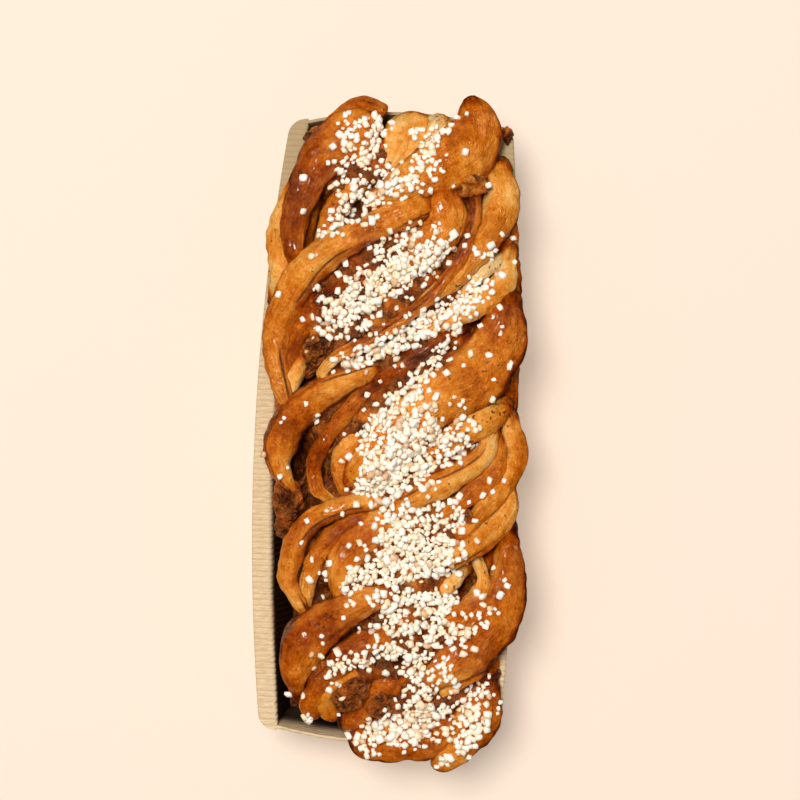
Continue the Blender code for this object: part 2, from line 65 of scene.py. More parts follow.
# Each fold of dough: the third of the loaf that it belongs to, the plan of its ridge, its
# width along it, how far its top stands over the loaf's dome, how brown it is baked along
# it (0 pale to 1 dark), whether its start and its end are free tips, where across it, from
# -1 to 1, the edge of a layer runs, and how thick dark spots lie. The widths and the browns
# are spread evenly over the path's points. Ends that aren't free run on under their neighbours.
FOLDS = (
    Fold("top left edge", "upper",
         ((-6, 127), (-17, 129), (-29, 119), (-42, 96), (-49, 77), (-46, 65), (-48, 54)),
         (5, 7, 7, 6, 7, 11, 5), 0, (0.7, 0.62, 0.55, 0.5, 0.42, 0.36, 0.4), 1, 0),
    Fold("top left strand", "upper", ((-10, 124), (-20, 117), (-32, 106), (-39, 91), (-42, 78), (-40, 63)),
         (15, 22, 17, 12, 10, 5), 2, (0.62, 0.58, 0.76, 0.84, 0.84, 0.8), 1, 0),
    Fold("inner left", "upper", ((-16, 97), (-24, 89), (-29, 79), (-31, 69)),
         (7, 9, 7, 4), -4, (0.5, 0.62, 0.66), 0, 0),
    Fold("top dome", "upper", ((8, 127), (5, 117), (0, 108), (-4, 100)),
         (22, 25, 18, 6), -3, (0.16, 0.2, 0.26, 0.36), 1, 0),
    Fold("dome side", "upper", ((18, 126), (12, 117), (5, 106)),
         (12, 14, 8), -4, (0.05, 0.12, 0.3), 1, 0, 0.0, 0.6),
    Fold("top right lobe", "upper", ((27, 134), (30, 122), (24, 110), (7, 100), (-8, 91)),
         (6, 20, 25, 18, 8), 3, (0.72, 0.6, 0.56, 0.54, 0.5), 1, 0),
    Fold("long band", "upper", ((9, 88), (-14, 77), (-34, 63), (-44, 46), (-47, 29), (-43, 13), (-39, 5)),
         (12, 11, 14, 13, 10, 7, 3), 3, (0.42, 0.5, 0.46, 0.5, 0.48, 0.5, 0.5), 0, 0, -0.62),
    Fold("shoulder", "upper", ((18, 94), (19, 83), (12, 72), (5, 64)),
         (12, 18, 12, 6), 1, (0.52, 0.56, 0.5), 0, 0),
    Fold("under band", "upper", ((-14, 58), (-29, 49), (-40, 35), (-42, 21), (-41, 10)),
         (7, 10, 9, 8, 6), -3, (0.8, 0.9, 0.8, 0.6, 0.5), 0, 0),
    Fold("gold lobe", "upper", ((-37, 24), (-40, 17), (-40, 9)),
         (5, 8, 4), -1, (0.34, 0.4, 0.42), 0, 0),
    Fold("strap", "upper",
         ((30, 93), (29, 81), (24, 66), (12, 51), (-7, 36), (-22, 28), (-28, 21), (-26, 17)),
         (5, 5, 5, 5, 6, 5, 4, 3), 2, (0.78, 0.72, 0.6, 0.66, 0.5, 0.3, 0.12), 0, 0, 0.2),
    Fold("right upper", "upper", ((40, 104), (41, 91), (34, 76), (24, 62), (12, 51)),
         (9, 15, 13, 8, 5), 1, (0.36, 0.5, 0.56, 0.5, 0.34), 0, 0),
    Fold("pale ridge", "upper", ((41, 69), (36, 65), (27, 56)),
         (5, 6, 5), -1, (0.1, 0.06, 0.2), 0, 0, 0, 0.7),
    Fold("right second", "upper", ((45, 70), (43, 60), (32, 50), (15, 41)),
         (5, 11, 10, 6), 0, (0.34, 0.3, 0.34), 0, 0),
    Fold("pale inner", "middle", ((-10, 27), (-17, 23), (-24, 19)),
         (7, 9, 6), -4, (0.02, 0.04, 0.06), 0, 0),
    Fold("left second", "middle", ((-10, 22), (-28, 13), (-40, 2), (-44, -8), (-44, -17), (-39, -25)),
         (7, 13, 14, 14, 9, 4), 3, (0.42, 0.56, 0.7, 0.68, 0.56, 0.6), 0, 0, 0.45),
    Fold("dark ridge", "middle",
         ((25, 40), (5, 25), (-9, 16), (-18, 5), (-26, -6), (-30, -15), (-28, -25), (-22, -30)),
         (6, 5, 6, 6, 6, 6, 5, 4), -1, (0.8, 0.86, 0.8, 0.72, 0.76, 0.6, 0.3), 0, 0),
    Fold("golden edge", "middle", ((-10, -2), (-17, -9), (-19, -18), (-16, -27)),
         (6, 9, 8, 5), -2, (0.5, 0.52, 0.58), 0, 0),
    Fold("big strand", "middle", ((44, 52), (43, 38), (33, 22), (17, 11), (1, -4), (-13, -20)),
         (11, 21, 24, 20, 18, 13), 3, (0.74, 0.66, 0.58, 0.52, 0.5, 0.5), 0, 0, 0, 0.55),
    Fold("spotted", "middle", ((43, 9), (38, 5), (29, 0), (17, -9)),
         (8, 13, 11, 7), 0, (0.36, 0.4, 0.44), 0, 0, 0, 1.0),
    Fold("right third", "middle", ((40, -2), (37, -10), (25, -19), (9, -28), (2, -33)),
         (6, 9, 11, 9, 6), 0, (0.24, 0.34, 0.42, 0.45), 0, 0, 0.4),
    Fold("brown band", "middle", ((44, -5), (42, -16), (31, -27), (22, -34)),
         (6, 8, 8, 5), -1, (0.5, 0.64, 0.68, 0.6), 0, 0),
    Fold("right outer", "middle", ((48, 3), (51, -8), (47, -20), (39, -30), (30, -41)),
         (8, 9, 9, 8, 5), 0, (0.46, 0.6, 0.52, 0.54, 0.62), 0, 0, 0, 0.5),
    Fold("gold right", "middle", ((48, -22), (48, -31), (41, -41), (29, -50), (20, -54)),
         (6, 9, 11, 8, 4), 1, (0.22, 0.3, 0.44, 0.34), 0, 0, -0.5, 0.5),
    Fold("left third", "middle", ((-4, -29), (-18, -32), (-31, -39), (-37, -51), (-38, -62), (-33, -71)),
         (6, 8, 9, 9, 8, 5), 3, (0.5, 0.56, 0.6, 0.58, 0.5, 0.42), 0, 0, -0.5),
    Fold("left third inner", "middle", ((-4, -34), (-17, -40), (-26, -49), (-30, -60), (-31, -71)),
         (6, 8, 7, 7, 4), -1, (0.72, 0.74, 0.66, 0.56, 0.4), 0, 0),
    Fold("middle fold", "middle", ((0, -35), (-12, -46), (-17, -57), (-18, -66)),
         (12, 16, 12, 6), 0, (0.44, 0.5, 0.46), 0, 0),
    Fold("small inner", "lower", ((30, -57), (25, -62), (19, -66)),
         (6, 7, 5), -3, (0.12, 0.34, 0.4), 0, 0),
    Fold("loop", "lower", ((37, -52), (39, -60), (35, -69), (26, -75)),
         (4, 6, 8, 6), -1, (0.2, 0.5, 0.66, 0.5), 0, 0),
    Fold("left fourth", "lower", ((0, -66), (-15, -73), (-29, -84), (-34, -96), (-34, -106)),
         (8, 13, 19, 14, 4), 3, (0.5, 0.66, 0.72, 0.72, 0.7), 0, 0),
    Fold("left fourth inner", "lower", ((1, -82), (-11, -89), (-23, -100), (-28, -111), (-25, -117)),
         (10, 12, 8, 9, 8), 0, (0.66, 0.82, 0.78, 0.62, 0.5), 0, 1),
    Fold("swirl", "lower", ((8, -97), (-2, -105), (-11, -114), (-13, -122)),
         (11, 15, 14, 9), -3, (0.7, 0.8, 0.66), 0, 1, 0.4),
    Fold("swirl edge", "lower", ((-9, -95), (-20, -101), (-23, -109), (-18, -118)),
         (6, 9, 9, 6), -2, (0.5, 0.44, 0.5, 0.62), 0, 1),
    Fold("low right lobe", "lower", ((49, -42), (49, -58), (45, -73), (34, -87), (20, -99)),
         (7, 15, 21, 21, 9), 3, (0.78, 0.72, 0.66, 0.7, 0.6), 0, 0),
    Fold("thin ridge", "lower", ((39, -97), (31, -101), (22, -106)),
         (4, 5, 4), -2, (0.6, 0.4, 0.3), 0, 0),
    Fold("bottom lobe", "lower", ((-12, -126), (3, -125), (20, -124), (29, -116)),
         (14, 18, 16, 9), -2, (0.66, 0.62, 0.66, 0.7), 1, 1),
    Fold("bottom right", "lower", ((43, -101), (40, -115), (32, -126), (23, -137)),
         (8, 18, 16, 7), -2, (0.84, 0.6, 0.56, 0.6), 0, 1),
    Fold("right flank, upper", "upper", ((41, 98), (44, 60), (45, 0)),
         (8, 13, 11), -8, (0.6, 0.74, 0.7), 0, 0),
    Fold("right flank, lower", "lower", ((45, 0), (44, -50), (40, -106)),
         (12, 14, 10), -8, (0.72, 0.74, 0.7), 0, 0),
    Fold("left flank", "upper", ((-34, 102), (-42, 60), (-44, 20), (-40, -6)),
         (9, 11, 9, 7), -9, (0.76, 0.7, 0.8), 0, 0),
)

Drift = namedtuple("Drift", "x y length width lean cover")

# Where the pearl sugar lies: the middle, half length and half width of each
# drift, the degrees that its length is turned from +X, and how much it covers.
DRIFTS = (
    Drift(-16, 115, 9.6, 5.6, 52, 0.45),
    Drift(-17, 105, 8.7, 5.2, 57, 0.50),
    Drift(-24, 120, 4.8, 2.8, 62, 0.22),
    Drift(-8, 96, 7.9, 5.2, 47, 0.62),
    Drift(-18, 88, 8.7, 4.4, 47, 0.60),
    Drift(-26, 79, 4.8, 3.2, 62, 0.38),
    Drift(12, 112, 12.5, 2.6, 50, 0.46),
    Drift(5, 99, 10.3, 3.2, 37, 0.40),
    Drift(9, 119, 5.5, 2.2, 15, 0.42),
    Drift(-1, 75, 10.3, 3.6, 17, 0.36),
    Drift(17, 71, 4.4, 2.8, 62, 0.42),
    Drift(3, 64, 15.8, 5.1, 29, 0.82),
    Drift(-8, 54, 16.6, 5.5, 29, 0.84),
    Drift(-21, 46, 7.9, 5.5, 12, 0.58),
    Drift(-19, 39, 8.7, 3.2, 12, 0.35),
    Drift(36, 64, 10.3, 5.6, 57, 0.20),
    Drift(24, 50, 11.1, 4.0, 30, 0.42),
    Drift(15, 43, 11.9, 4.0, 30, 0.74),
    Drift(2, 36, 11.1, 4.0, 27, 0.88),
    Drift(-11, 29, 8.7, 3.6, 27, 0.70),
    Drift(21, 34, 7.1, 2.8, 47, 0.28),
    Drift(12, 21, 10.3, 3.6, 47, 0.46),
    Drift(3, 10, 10.3, 4.0, 40, 0.52),
    Drift(-6, -2, 9.5, 4.7, 62, 0.58),
    Drift(8, 1, 13.5, 5.1, 34, 0.58),
    Drift(9, -9, 16.6, 5.9, 30, 0.76),
    Drift(-6, -20, 7.1, 5.9, 52, 0.66),
    Drift(5, -19, 10.3, 4.4, 12, 0.74),
    Drift(28, -1, 8.7, 3.2, 34, 0.32),
    Drift(22, -12, 8.7, 2.8, 30, 0.42),
    Drift(3, -32, 6.3, 5.1, 2, 0.58),
    Drift(20, -33, 8.7, 3.6, 22, 0.46),
    Drift(27, -39, 5.6, 3.2, 47, 0.40),
    Drift(7, -41, 10.3, 4.0, 14, 0.62),
    Drift(9, -49, 14.2, 5.5, 12, 0.84),
    Drift(21, -48, 5.5, 6.3, 2, 0.56),
    Drift(7, -57, 15.8, 3.6, 10, 0.78),
    Drift(-11, -61, 9.5, 3.2, 34, 0.52),
    Drift(9, -68, 13.5, 4.0, 4, 0.56),
    Drift(20, -70, 7.1, 4.8, 2, 0.50),
    Drift(11, -76, 13.5, 4.4, 10, 0.64),
    Drift(24, -81, 9.5, 4.8, 2, 0.52),
    Drift(9, -88, 8.7, 3.6, 2, 0.60),
    Drift(-8, -91, 12.5, 3.4, 18, 0.50),
    Drift(-19, -101, 2.4, 4.8, 2, 0.34),
    Drift(18, -96, 9.5, 4.8, 2, 0.46),
    Drift(17, -105, 7.2, 4.8, 2, 0.52),
    Drift(18, -115, 10.4, 4.8, 7, 0.76),
    Drift(8, -120.8, 13.0, 5.0, 12, 0.74),
    Drift(-4.5, -125.5, 4.0, 4.0, 2, 0.34),
    Drift(38, -109, 5.6, 7.2, -13, 0.46),
    Drift(36, -120, 7.2, 6.4, 37, 0.56),
    Drift(29, -131, 4.8, 2.4, 37, 0.55),
    Drift(36, -77, 11.1, 4.0, 50, 0.18),
    Drift(46, -63, 3.2, 10.4, 10, 0.07),
    Drift(-25, -58, 4.8, 2.0, 54, 0.22),
    Drift(-27, -118, 4.8, 1.6, -13, 0.60),
    Drift(0, 0, 46.0, 125.0, 0, 0.012),
)

Lump = namedtuple("Lump", "x y rise length width height lean bake soak")

# Rough lumps of filling that ooze out between the folds: the middle, how far it stands
# over the dome, half sizes, the degrees that it is turned, how brown and how sticky it is.
LUMPS = (
    Lump(29, 98, 1.5, 7.0, 4.5, 3.0, 20, 0.55, 0.35),
    Lump(-31, 33, -5.0, 9.0, 5.0, 3.5, 65, 0.60, 0.45),
    Lump(-33, 24, -6.0, 5.0, 4.0, 3.5, 30, 0.70, 0.55),
    Lump(-40, -30, 0.0, 9.5, 6.0, 4.5, 98, 0.80, 0.40),
    Lump(-41, -41, -3.0, 4.0, 4.0, 3.0, 90, 0.85, 0.50),
    Lump(-11, -106, 1.0, 9.0, 5.5, 4.5, 45, 0.80, 0.42),
    Lump(1, -110, 0.5, 7.0, 5.0, 4.0, 20, 0.76, 0.36),
    Lump(-22, -98, 0.0, 6.0, 4.0, 3.5, 40, 0.66, 0.40),
    Lump(-33, 118, -9.0, 7.0, 3.0, 3.0, 20, 0.75, 0.45),
    Lump(32, -34, 0.0, 3.0, 2.5, 2.0, 20, 0.80, 0.50),
    Lump(43, 119.5, -5.2, 3.4, 2.4, 2.0, 90, 0.80, 0.50),
)

Pit = namedtuple("Pit", "x y length width lean depth")

# Gaps between the folds, where the core sinks and is painted darker, as filling and as painted shade: the
# middle, half length and half width of each, the degrees that its length is turned from +X, and how far the
# dough sinks there.
PITS = (
    Pit(-35, 80, 13.0, 4.5, 72, 9),
    Pit(-15, 90, 9.0, 2.4, 57, 10),
    Pit(-33, 30, 11.0, 6.0, 50, 6),
    Pit(-34, 18, 5.0, 4.5, 0, 9),
    Pit(-22, -67, 5.0, 3.5, 20, 9),
    Pit(-22, -95, 20.0, 3.0, 46, 6),
    Pit(-31, -25, 10.0, 4.0, 80, 9),
    Pit(-36, -14, 9.0, 4.5, 80, 9),
    Pit(31, -60, 5.0, 3.0, 60, 6),
    Pit(7, -93, 3.0, 2.5, 0, 6),
)

# Plain shapes shared with the solid model, in millimetres.
CASE_LENGTH = 246.0
CASE_HEIGHT = 50.0
CASE_HALF_WIDTH = 40.65
CASE_TAPER = -3.7 / CASE_LENGTH
LEFT_BULGE = 8.0
RIGHT_BULGE = 4.5
END_BOW = 5.0
WALL_LEAN = 7.0
BOARD = 1.2
FLANGE_WIDTH = 6.3
FLANGE_HALF_LENGTH = 123.9
GAP = 0.3
SHOULDER = 46.0
CROWN_RISE = 26.0
DOME_HALF_WIDTH = 57.0
DOME_EDGE = 0.999
DOME_ROUNDNESS = 2.2
DOME_FULL_TO = 85.0
DOME_FADE = 50.0
DOME_END_SINK = 0.5
DOME_END_POWER = 1.5
CORE_HALF_LENGTH = 122.5
CORE_BELOW_DOME = 6.0
FOLD_SWELL = 1.08
FOLD_FLATNESS = 0.45
FOLD_MAX_HALF_HEIGHT = 8.0
RUN_ON = 7.0
HIDDEN_TUCK = 9.0
HIDDEN_TUCK_LENGTH = 17.0
FREE_TUCK = 3.5
FREE_TUCK_LENGTH = 12.0
FLUTE = 2.3

# How a fold is drawn: the step between seeds, the points and rows, the waver of its width
# in shares and millimetres, how far it leans with the dome, how blunt its profile is, and
# how the profile's points crowd at the top.
SEED_STEP = 10
POINTS_A_KNOT = 60
SMOOTHED_ROWS = 6
HEADING_ROWS = 4
LEAST_COLUMNS = 14
LEAST_STEPS = 8
LEAST_CLOSING = 0.0004
WIDTH_WAVER = 0.06
WIDTH_WAVE = 14.0
FOLD_LEAN = 0.6
FOLD_BLUNTNESS = 0.88
FOLD_CROWDING = 0.35

# Relief and shades of a fold: waves, widths and depths in millimetres, the rest shares.
# Lumps and creases are pairs of a height and a wave.
FOLD_LUMPS = ((0.6, 11.0), (0.4, 5.0))
FOLD_CREASES = ((1.0, 3.4), (0.6, 1.9))
CREASE_WAYS = 9
LAYER_WANDER = 0.12
LAYER_WANDER_WAVE = 40.0
LAYER_BREAK_WAVE = 55.0
LAYER_BREAKS = (-0.9, 0.1)
LAYER_STEP = 1.2
BAKE_PATCH = 0.07
BAKE_PATCH_WAVE = 22.0
PALE_SIDE = 0.16
BAKE_BEYOND_LAYER = 0.22
# Painted shade low down in the crevices: how much browner a fold is painted there, and the depths between
# which that browning and the darker filling, partly painted shade, set in.
PAINTED_SHADE_BELOW_TOP = 0.42
PAINTED_SHADE_DEPTHS = (2.8, 6.5)
FILLING_AND_SHADE_DEPTHS = (5.0, 9.0)
SOAK_IN_LAYER = 0.85
# Painted shade under the sugar, with caramelised filling: how much darker the crust is painted there, and
# the covers between which it sets in.
FILLING_AND_SHADE_UNDER_SUGAR = 0.4
SUGARY_COVERS = (0.5, 0.85)

# The dough under the folds: its grid, how blunt it is, how far its lower left side stands
# in from the wall, with the place along the loaf where that begins and its fade, the
# heights between which its lumpy top begins, and how brown and how sticky it is.
CORE_ROWS = 300
CORE_COLUMNS = 190
CORE_CROWDING = 0.45
CORE_END_TURN = 0.499 * math.pi
CORE_END_POWER = 26
CORE_LEAST_SWELL = 0.02
CORE_TOP_POWER = 0.6
CORE_FOOT_POWER = 0.3
CORE_SIDE_GAP = 0.6
LEFT_HOLLOW = 6.0
LEFT_HOLLOW_FROM = 5.0
LEFT_HOLLOW_FADE = 8.0
CORE_TOP_HEIGHTS = (40.0, 52.0)
CORE_LUMPS = ((1.1, 11.0), (0.5, 4.5))
CORE_BAKE = 0.78
CORE_SOAK = 0.56
# Painted shade with filling in the gaps: the depth of a gap that makes the core one whole step darker.
CORE_GAP_SHADE_DEPTH = 5.0
CORE_SEED = 900

# The lumps of filling: their grid, the even brown over them, and the waves and heights of
# their ridges.
LUMP_ROWS = 70
LUMP_COLUMNS = 100
FILLING_DUST = 0.45
FILLING_SEED = 2000
RIDGE_WAVES = (5.5, 2.8)
RIDGE_MIDDLE = 0.84
RIDGE_DEPTH = 0.85
SWELL_WAVE = 8.0
SWELL_HEIGHT = 0.6

# The paper: the points across each part of the board and across an end, how narrow the grooves are, the
# waver of the walls, and the depths below the rim between which the inside turns dark with grease and
# painted shade.
FLANGE_POINTS = 8
WALL_POINTS = 18
FLOOR_POINTS = 9
END_POINTS = 60
TEXTURE_STEP = 4.0
GROOVE_SHARPNESS = 9.0
WALL_WAVER = 0.35
WALL_WAVE = 60.0
WALL_SEED = 5
FOOT_HEIGHT = 2.0
SIDE_GREASE_AND_SHADE_DEPTHS = (0.2, 8.0)
END_GREASE_AND_SHADE_DEPTHS = (0.5, 14.0)
END_GREASE_AND_SHADE = 0.7

# How the grains are strewn: shares of a drift's size, of the grains and of a grain's
# radius, and depths in millimetres.
TRIES_A_GRAIN = 9
RAY_FROM = 200.0
DRIFT_REACH = 1.1
STRAY_REACH = 1.8
STRAY_SHARE = 0.18
EMPTY_PIT_DEPTH = 4.0
EMPTY_PIT_SHARE = 0.8
GRAIN_SIZE_POWER = 1.3
LEAST_UPRIGHT = 0.35
LOWEST_UNDER_RIM = 2.0
LOWER_LAYER = 0.4
UPPER_LAYER = 1.7
TWO_LAYER_COVER = 0.5
NEIGHBOUR_REACH = 1.9
LEAST_NEIGHBOURS = 3

# How a grain is shaped: the reach of its box's planes and of the planes that cut it, its
# three sizes as shares of its radius, and how far it tilts.
BOX_REACH = (0.55, 1.0)
CUT_REACH = (0.62, 1.0)
CRYSTAL_POWER = 30
CRYSTAL_LONGEST = 1.45
CRYSTAL_SIZES = ((1.0, 1.5), (0.9, 1.15), (0.6, 0.95))
CRYSTAL_TILT = 0.35

Skin = namedtuple("Skin", "points triangles uv shades")
Grain = namedtuple("Grain", "centre radius normal")


def linear(red, green, blue):
    """A colour seen as 0 to 255 on a screen, as the linear colour that shaders use."""
    seen = np.array([red, green, blue]) / 255.0
    low = seen / 12.92
    high = ((seen + 0.055) / 1.055) ** 2.4
    return (*(float(part) for part in np.where(seen <= 0.04045, low, high)), 1.0)


def ripple(places, wave, seed, count=7):
    """Even bumpiness, mostly within -1 to 1.

    The sum of a few plane waves of one wavelength that run in seeded directions,
    divided by the square root of how many there are.
    """
    draw = np.random.default_rng(seed)
    ways = unit(draw.normal(size=(count, places.shape[-1])))
    phases = draw.uniform(0.0, 2.0 * math.pi, count)
    return np.sin(places @ ways.T * (2.0 * math.pi / wave) + phases).sum(axis=-1) / math.sqrt(count)


def ripples(places, sizes, seed, count=7):
    """The sum of a ripple for each pair of a height and a wave, with seeds that follow on."""
    return sum(height * ripple(places, wave, seed + number, count)
               for number, (height, wave) in enumerate(sizes))


def unit(vectors):
    """Each vector divided by its own length."""
    return vectors / np.linalg.norm(vectors, axis=-1, keepdims=True)


def blunt(value, power):
    """The size of a value to a power, with the value's sign."""
    return np.abs(value) ** power * np.sign(value)


def smooth_step(value, low, high):
    """0 below low, 1 above high, and between them three squares less two cubes."""
    t = np.clip((value - low) / (high - low), 0.0, 1.0)
    return t * t * (3.0 - 2.0 * t)


def spread(values, share):
    """Values laid out evenly from 0 to 1 and joined by straight lines, read at each share."""
    return np.interp(share, np.linspace(0.0, 1.0, len(values)), values)


def full_turn(columns, crowding):
    """Angles round a profile, an even step apart plus crowding times the cosine.

    That brings them closer together at the top and further apart below.
    """
    turn = 2.0 * math.pi * np.arange(columns) / columns
    return turn + crowding * np.cos(turn)


def dome(x, y):
    """Height of the loaf's even top: a superellipse across, which sinks towards both ends."""
    past = np.clip((np.abs(y) - DOME_FULL_TO) / DOME_FADE, 0.0, 1.0)
    across = np.minimum(np.abs(x) / DOME_HALF_WIDTH, DOME_EDGE) ** DOME_ROUNDNESS
    return SHOULDER + CROWN_RISE * np.sqrt(1.0 - across) * (1.0 - DOME_END_SINK * past ** DOME_END_POWER)


def case_half_width(y, height, side):
    """Half width of the case: tapered along y, bulging as one less the square of y, leaning out."""
    rise = height / CASE_HEIGHT
    bulge = np.where(side > 0, RIGHT_BULGE, LEFT_BULGE)
    along = np.clip(np.abs(y) / (CASE_LENGTH / 2), 0.0, 1.0)
    return CASE_HALF_WIDTH + CASE_TAPER * y + bulge * rise * (1.0 - along ** 2) - WALL_LEAN * (1.0 - rise)


def case_half_length(across, height):
    """Half length of the case: leaning out, bowed as one less the square of the place across."""
    rise = height / CASE_HEIGHT
    bow = END_BOW * rise * (1.0 - np.clip(across, -1.0, 1.0) ** 2)
    return CASE_LENGTH / 2 - WALL_LEAN * (1.0 - rise) + bow


def ways_out(patch, x, y):
    """How far x, y lies from a patch's middle along it and across it, as shares of its sizes."""
    lean = math.radians(patch.lean)
    along = (x - patch.x) * math.cos(lean) + (y - patch.y) * math.sin(lean)
    across = (y - patch.y) * math.cos(lean) - (x - patch.x) * math.sin(lean)
    return along / patch.length, across / patch.width


def strewn(x, y):
    """How densely sugar lies.

    Over all drifts, the most of the cover times e to the minus square of the sum
    of the squared ways out.
    """
    most = 0.0 * x
    for drift in DRIFTS:
        along, across = ways_out(drift, x, y)
        most = np.maximum(most, drift.cover * np.exp(-(along ** 2 + across ** 2) ** 2))
    return most


def sunk(x, y):
    """How far the dough sinks in the gaps.

    Over all pits, the most of the depth times e to the minus sum of the fourth
    powers of the ways out.
    """
    most = 0.0 * x
    for pit in PITS:
        along, across = ways_out(pit, x, y)
        most = np.maximum(most, pit.depth * np.exp(-(along ** 4 + across ** 4)))
    return most


def clear_of_case(points):
    """Points moved the shortest way out of the paper: in from the walls, or up on to the rim."""
    x, y, z = np.moveaxis(points, -1, 0)
    height = np.clip(z, 0.0, CASE_HEIGHT)
    reach_x = case_half_width(y, height, x) - BOARD - GAP
    reach_y = case_half_length(x / CASE_HALF_WIDTH, height) - BOARD - GAP
    past_x = np.abs(x) - reach_x
    past_y = np.abs(y) - reach_y
    below = CASE_HEIGHT + GAP - z
    past = np.maximum(past_x, past_y)
    lift = (past > 0.0) & (below > 0.0) & (below < past)
    pull = (past > 0.0) & (below >= past)
    x = np.where(pull & (past_x > 0.0), np.sign(x) * reach_x, x)
    y = np.where(pull & (past_y > 0.0), np.sign(y) * reach_y, y)
    z = np.where(lift, CASE_HEIGHT + GAP, z)
    return np.stack([x, y, z], axis=-1)


def smooth_line(knots, count):
    """Points on the Catmull-Rom curve through knots.

    On each span it is the cubic whose slope at a knot is half the step from the
    knot before to the knot after.
    """
    knots = np.asarray(knots, float)
    ends = np.vstack([2 * knots[0] - knots[1], knots, 2 * knots[-1] - knots[-2]])
    place = np.linspace(0.0, len(knots) - 1.0, count)
    span = np.minimum(place.astype(int), len(knots) - 2)
    t = (place - span)[:, None]
    a, b, c, d = (ends[span + number] for number in range(4))
    cubic = (3 * (b - c) + d - a) * t ** 3
    return 0.5 * (2 * b + (c - a) * t + (2 * a - 5 * b + 4 * c - d) * t ** 2 + cubic)


def even_line(line, step):
    """The same line with points at an even spacing, and how far along each of them lies."""
    steps = np.linalg.norm(np.diff(line[:, :2], axis=0), axis=1)
    lengths = np.concatenate([[0.0], np.cumsum(steps)])
    place = np.linspace(0.0, lengths[-1], max(int(round(lengths[-1] / step)), LEAST_STEPS) + 1)
    return np.stack([np.interp(place, lengths, part) for part in line.T], axis=1), place


def running_mean(values, count):
    """The mean of each row and its neighbours, with the first and last row repeated outwards."""
    before = np.repeat(values[:1], count, axis=0)
    after = np.repeat(values[-1:], count, axis=0)
    padded = np.concatenate([before, values, after])
    total = np.cumsum(np.concatenate([0 * padded[:1], padded]), axis=0)
    width = 2 * count + 1
    return (total[width:] - total[:-width]) / width


def tube_triangles(rows, columns):
    """Corners of the triangles of a tube closed by a pole at each end.

    Each corner is a ring and a place in the ring. The place runs one past the
    last where the ring closes, and the poles are the rings -1 and rows.
    """
    grid = np.meshgrid(np.arange(rows - 1), np.arange(columns), indexing="ij")
    near = np.stack([part.ravel() for part in grid], axis=1)
    beside = near + (0, 1)
    far = near + (1, 0)
    across = near + (1, 1)
    ring = np.arange(columns)
    first = np.stack([0 * ring, ring], axis=1)
    last = np.stack([0 * ring + rows - 1, ring], axis=1)
    return np.concatenate([
        np.stack([near, beside, across], axis=1),
        np.stack([near, across, far], axis=1),
        np.stack([first - (1, 0), first + (0, 1), first], axis=1),
        np.stack([last + (1, 0), last, last + (0, 1)], axis=1),
    ])


def tube_skin(rings, along, around, shades):
    """A closed skin over rings of points, with a pole at the middle of each end ring.

    rings has the axes ring, place and x y z, along and around are the texture's
    two lengths on the same grid, and shades maps a name to a value on the grid.
    """
    rows, columns, _ = rings.shape
    corners = tube_triangles(rows, columns)
    ring = np.clip(corners[..., 0], 0, rows - 1)
    place = corners[..., 1]
    index = ring * columns + place % columns
    index = np.where(corners[..., 0] < 0, rows * columns, index)
    index = np.where(corners[..., 0] >= rows, rows * columns + 1, index)
    closing = around[:, :1] + (around[:, -1:] - around[:, -2:-1]) * columns
    around = np.concatenate([around, closing], axis=1)
    uv = np.stack([along[ring, place % columns], around[ring, place]], axis=-1)
    points = np.concatenate([rings.reshape(-1, 3), rings[:1].mean(axis=1), rings[-1:].mean(axis=1)])
    values = {name: np.concatenate([grid.ravel(), [grid[0].mean(), grid[-1].mean()]])
              for name, grid in shades.items()}
    return outwards(Skin(points, index, uv, values))


def slab_skin(front, back, along, around, shades):
    """A closed sheet between two equal grids of points, with a strip round its four edges.

    The shades are those of the front, and the back has 0.
    """
    rows, columns, _ = front.shape
    number = np.arange(rows * columns).reshape(rows, columns)
    near, beside, far, across = number[:-1, :-1], number[:-1, 1:], number[1:, :-1], number[1:, 1:]
    face = np.concatenate([
        np.stack([near, beside, across], axis=-1).reshape(-1, 3),
        np.stack([near, across, far], axis=-1).reshape(-1, 3),
    ])
    edge = np.concatenate([number[0, :-1], number[:-1, -1], number[-1, :0:-1], number[:0:-1, 0]])
    after = np.roll(edge, -1)
    count = rows * columns
    strip = np.concatenate([
        np.stack([edge, edge + count, after + count], axis=1),
        np.stack([edge, after + count, after], axis=1),
    ])
    index = np.concatenate([face, face[:, ::-1] + count, strip])
    flat = np.stack([along.ravel(), around.ravel()], axis=1)
    points = np.concatenate([front.reshape(-1, 3), back.reshape(-1, 3)])
    values = {name: np.concatenate([grid.ravel(), 0 * grid.ravel()]) for name, grid in shades.items()}
    return outwards(Skin(points, index, flat[index % count], values))


def outwards(skin):
    """The skin with its triangles turned so that the volume that they enclose is positive."""
    a, b, c = (skin.points[skin.triangles[:, number]] for number in range(3))
    if np.einsum("ij,ij->i", a, np.cross(b, c)).sum() < 0.0:
        return skin._replace(triangles=skin.triangles[:, ::-1], uv=skin.uv[:, ::-1])
    return skin


def joined(skins):
    """Several skins as one."""
    offsets = np.cumsum([0] + [len(skin.points) for skin in skins[:-1]])
    names = skins[0].shades
    return Skin(
        np.concatenate([skin.points for skin in skins]),
        np.concatenate([skin.triangles + offset for skin, offset in zip(skins, offsets)]),
        np.concatenate([skin.uv for skin in skins]),
        {name: np.concatenate([skin.shades[name] for skin in skins]) for name in names},
    )


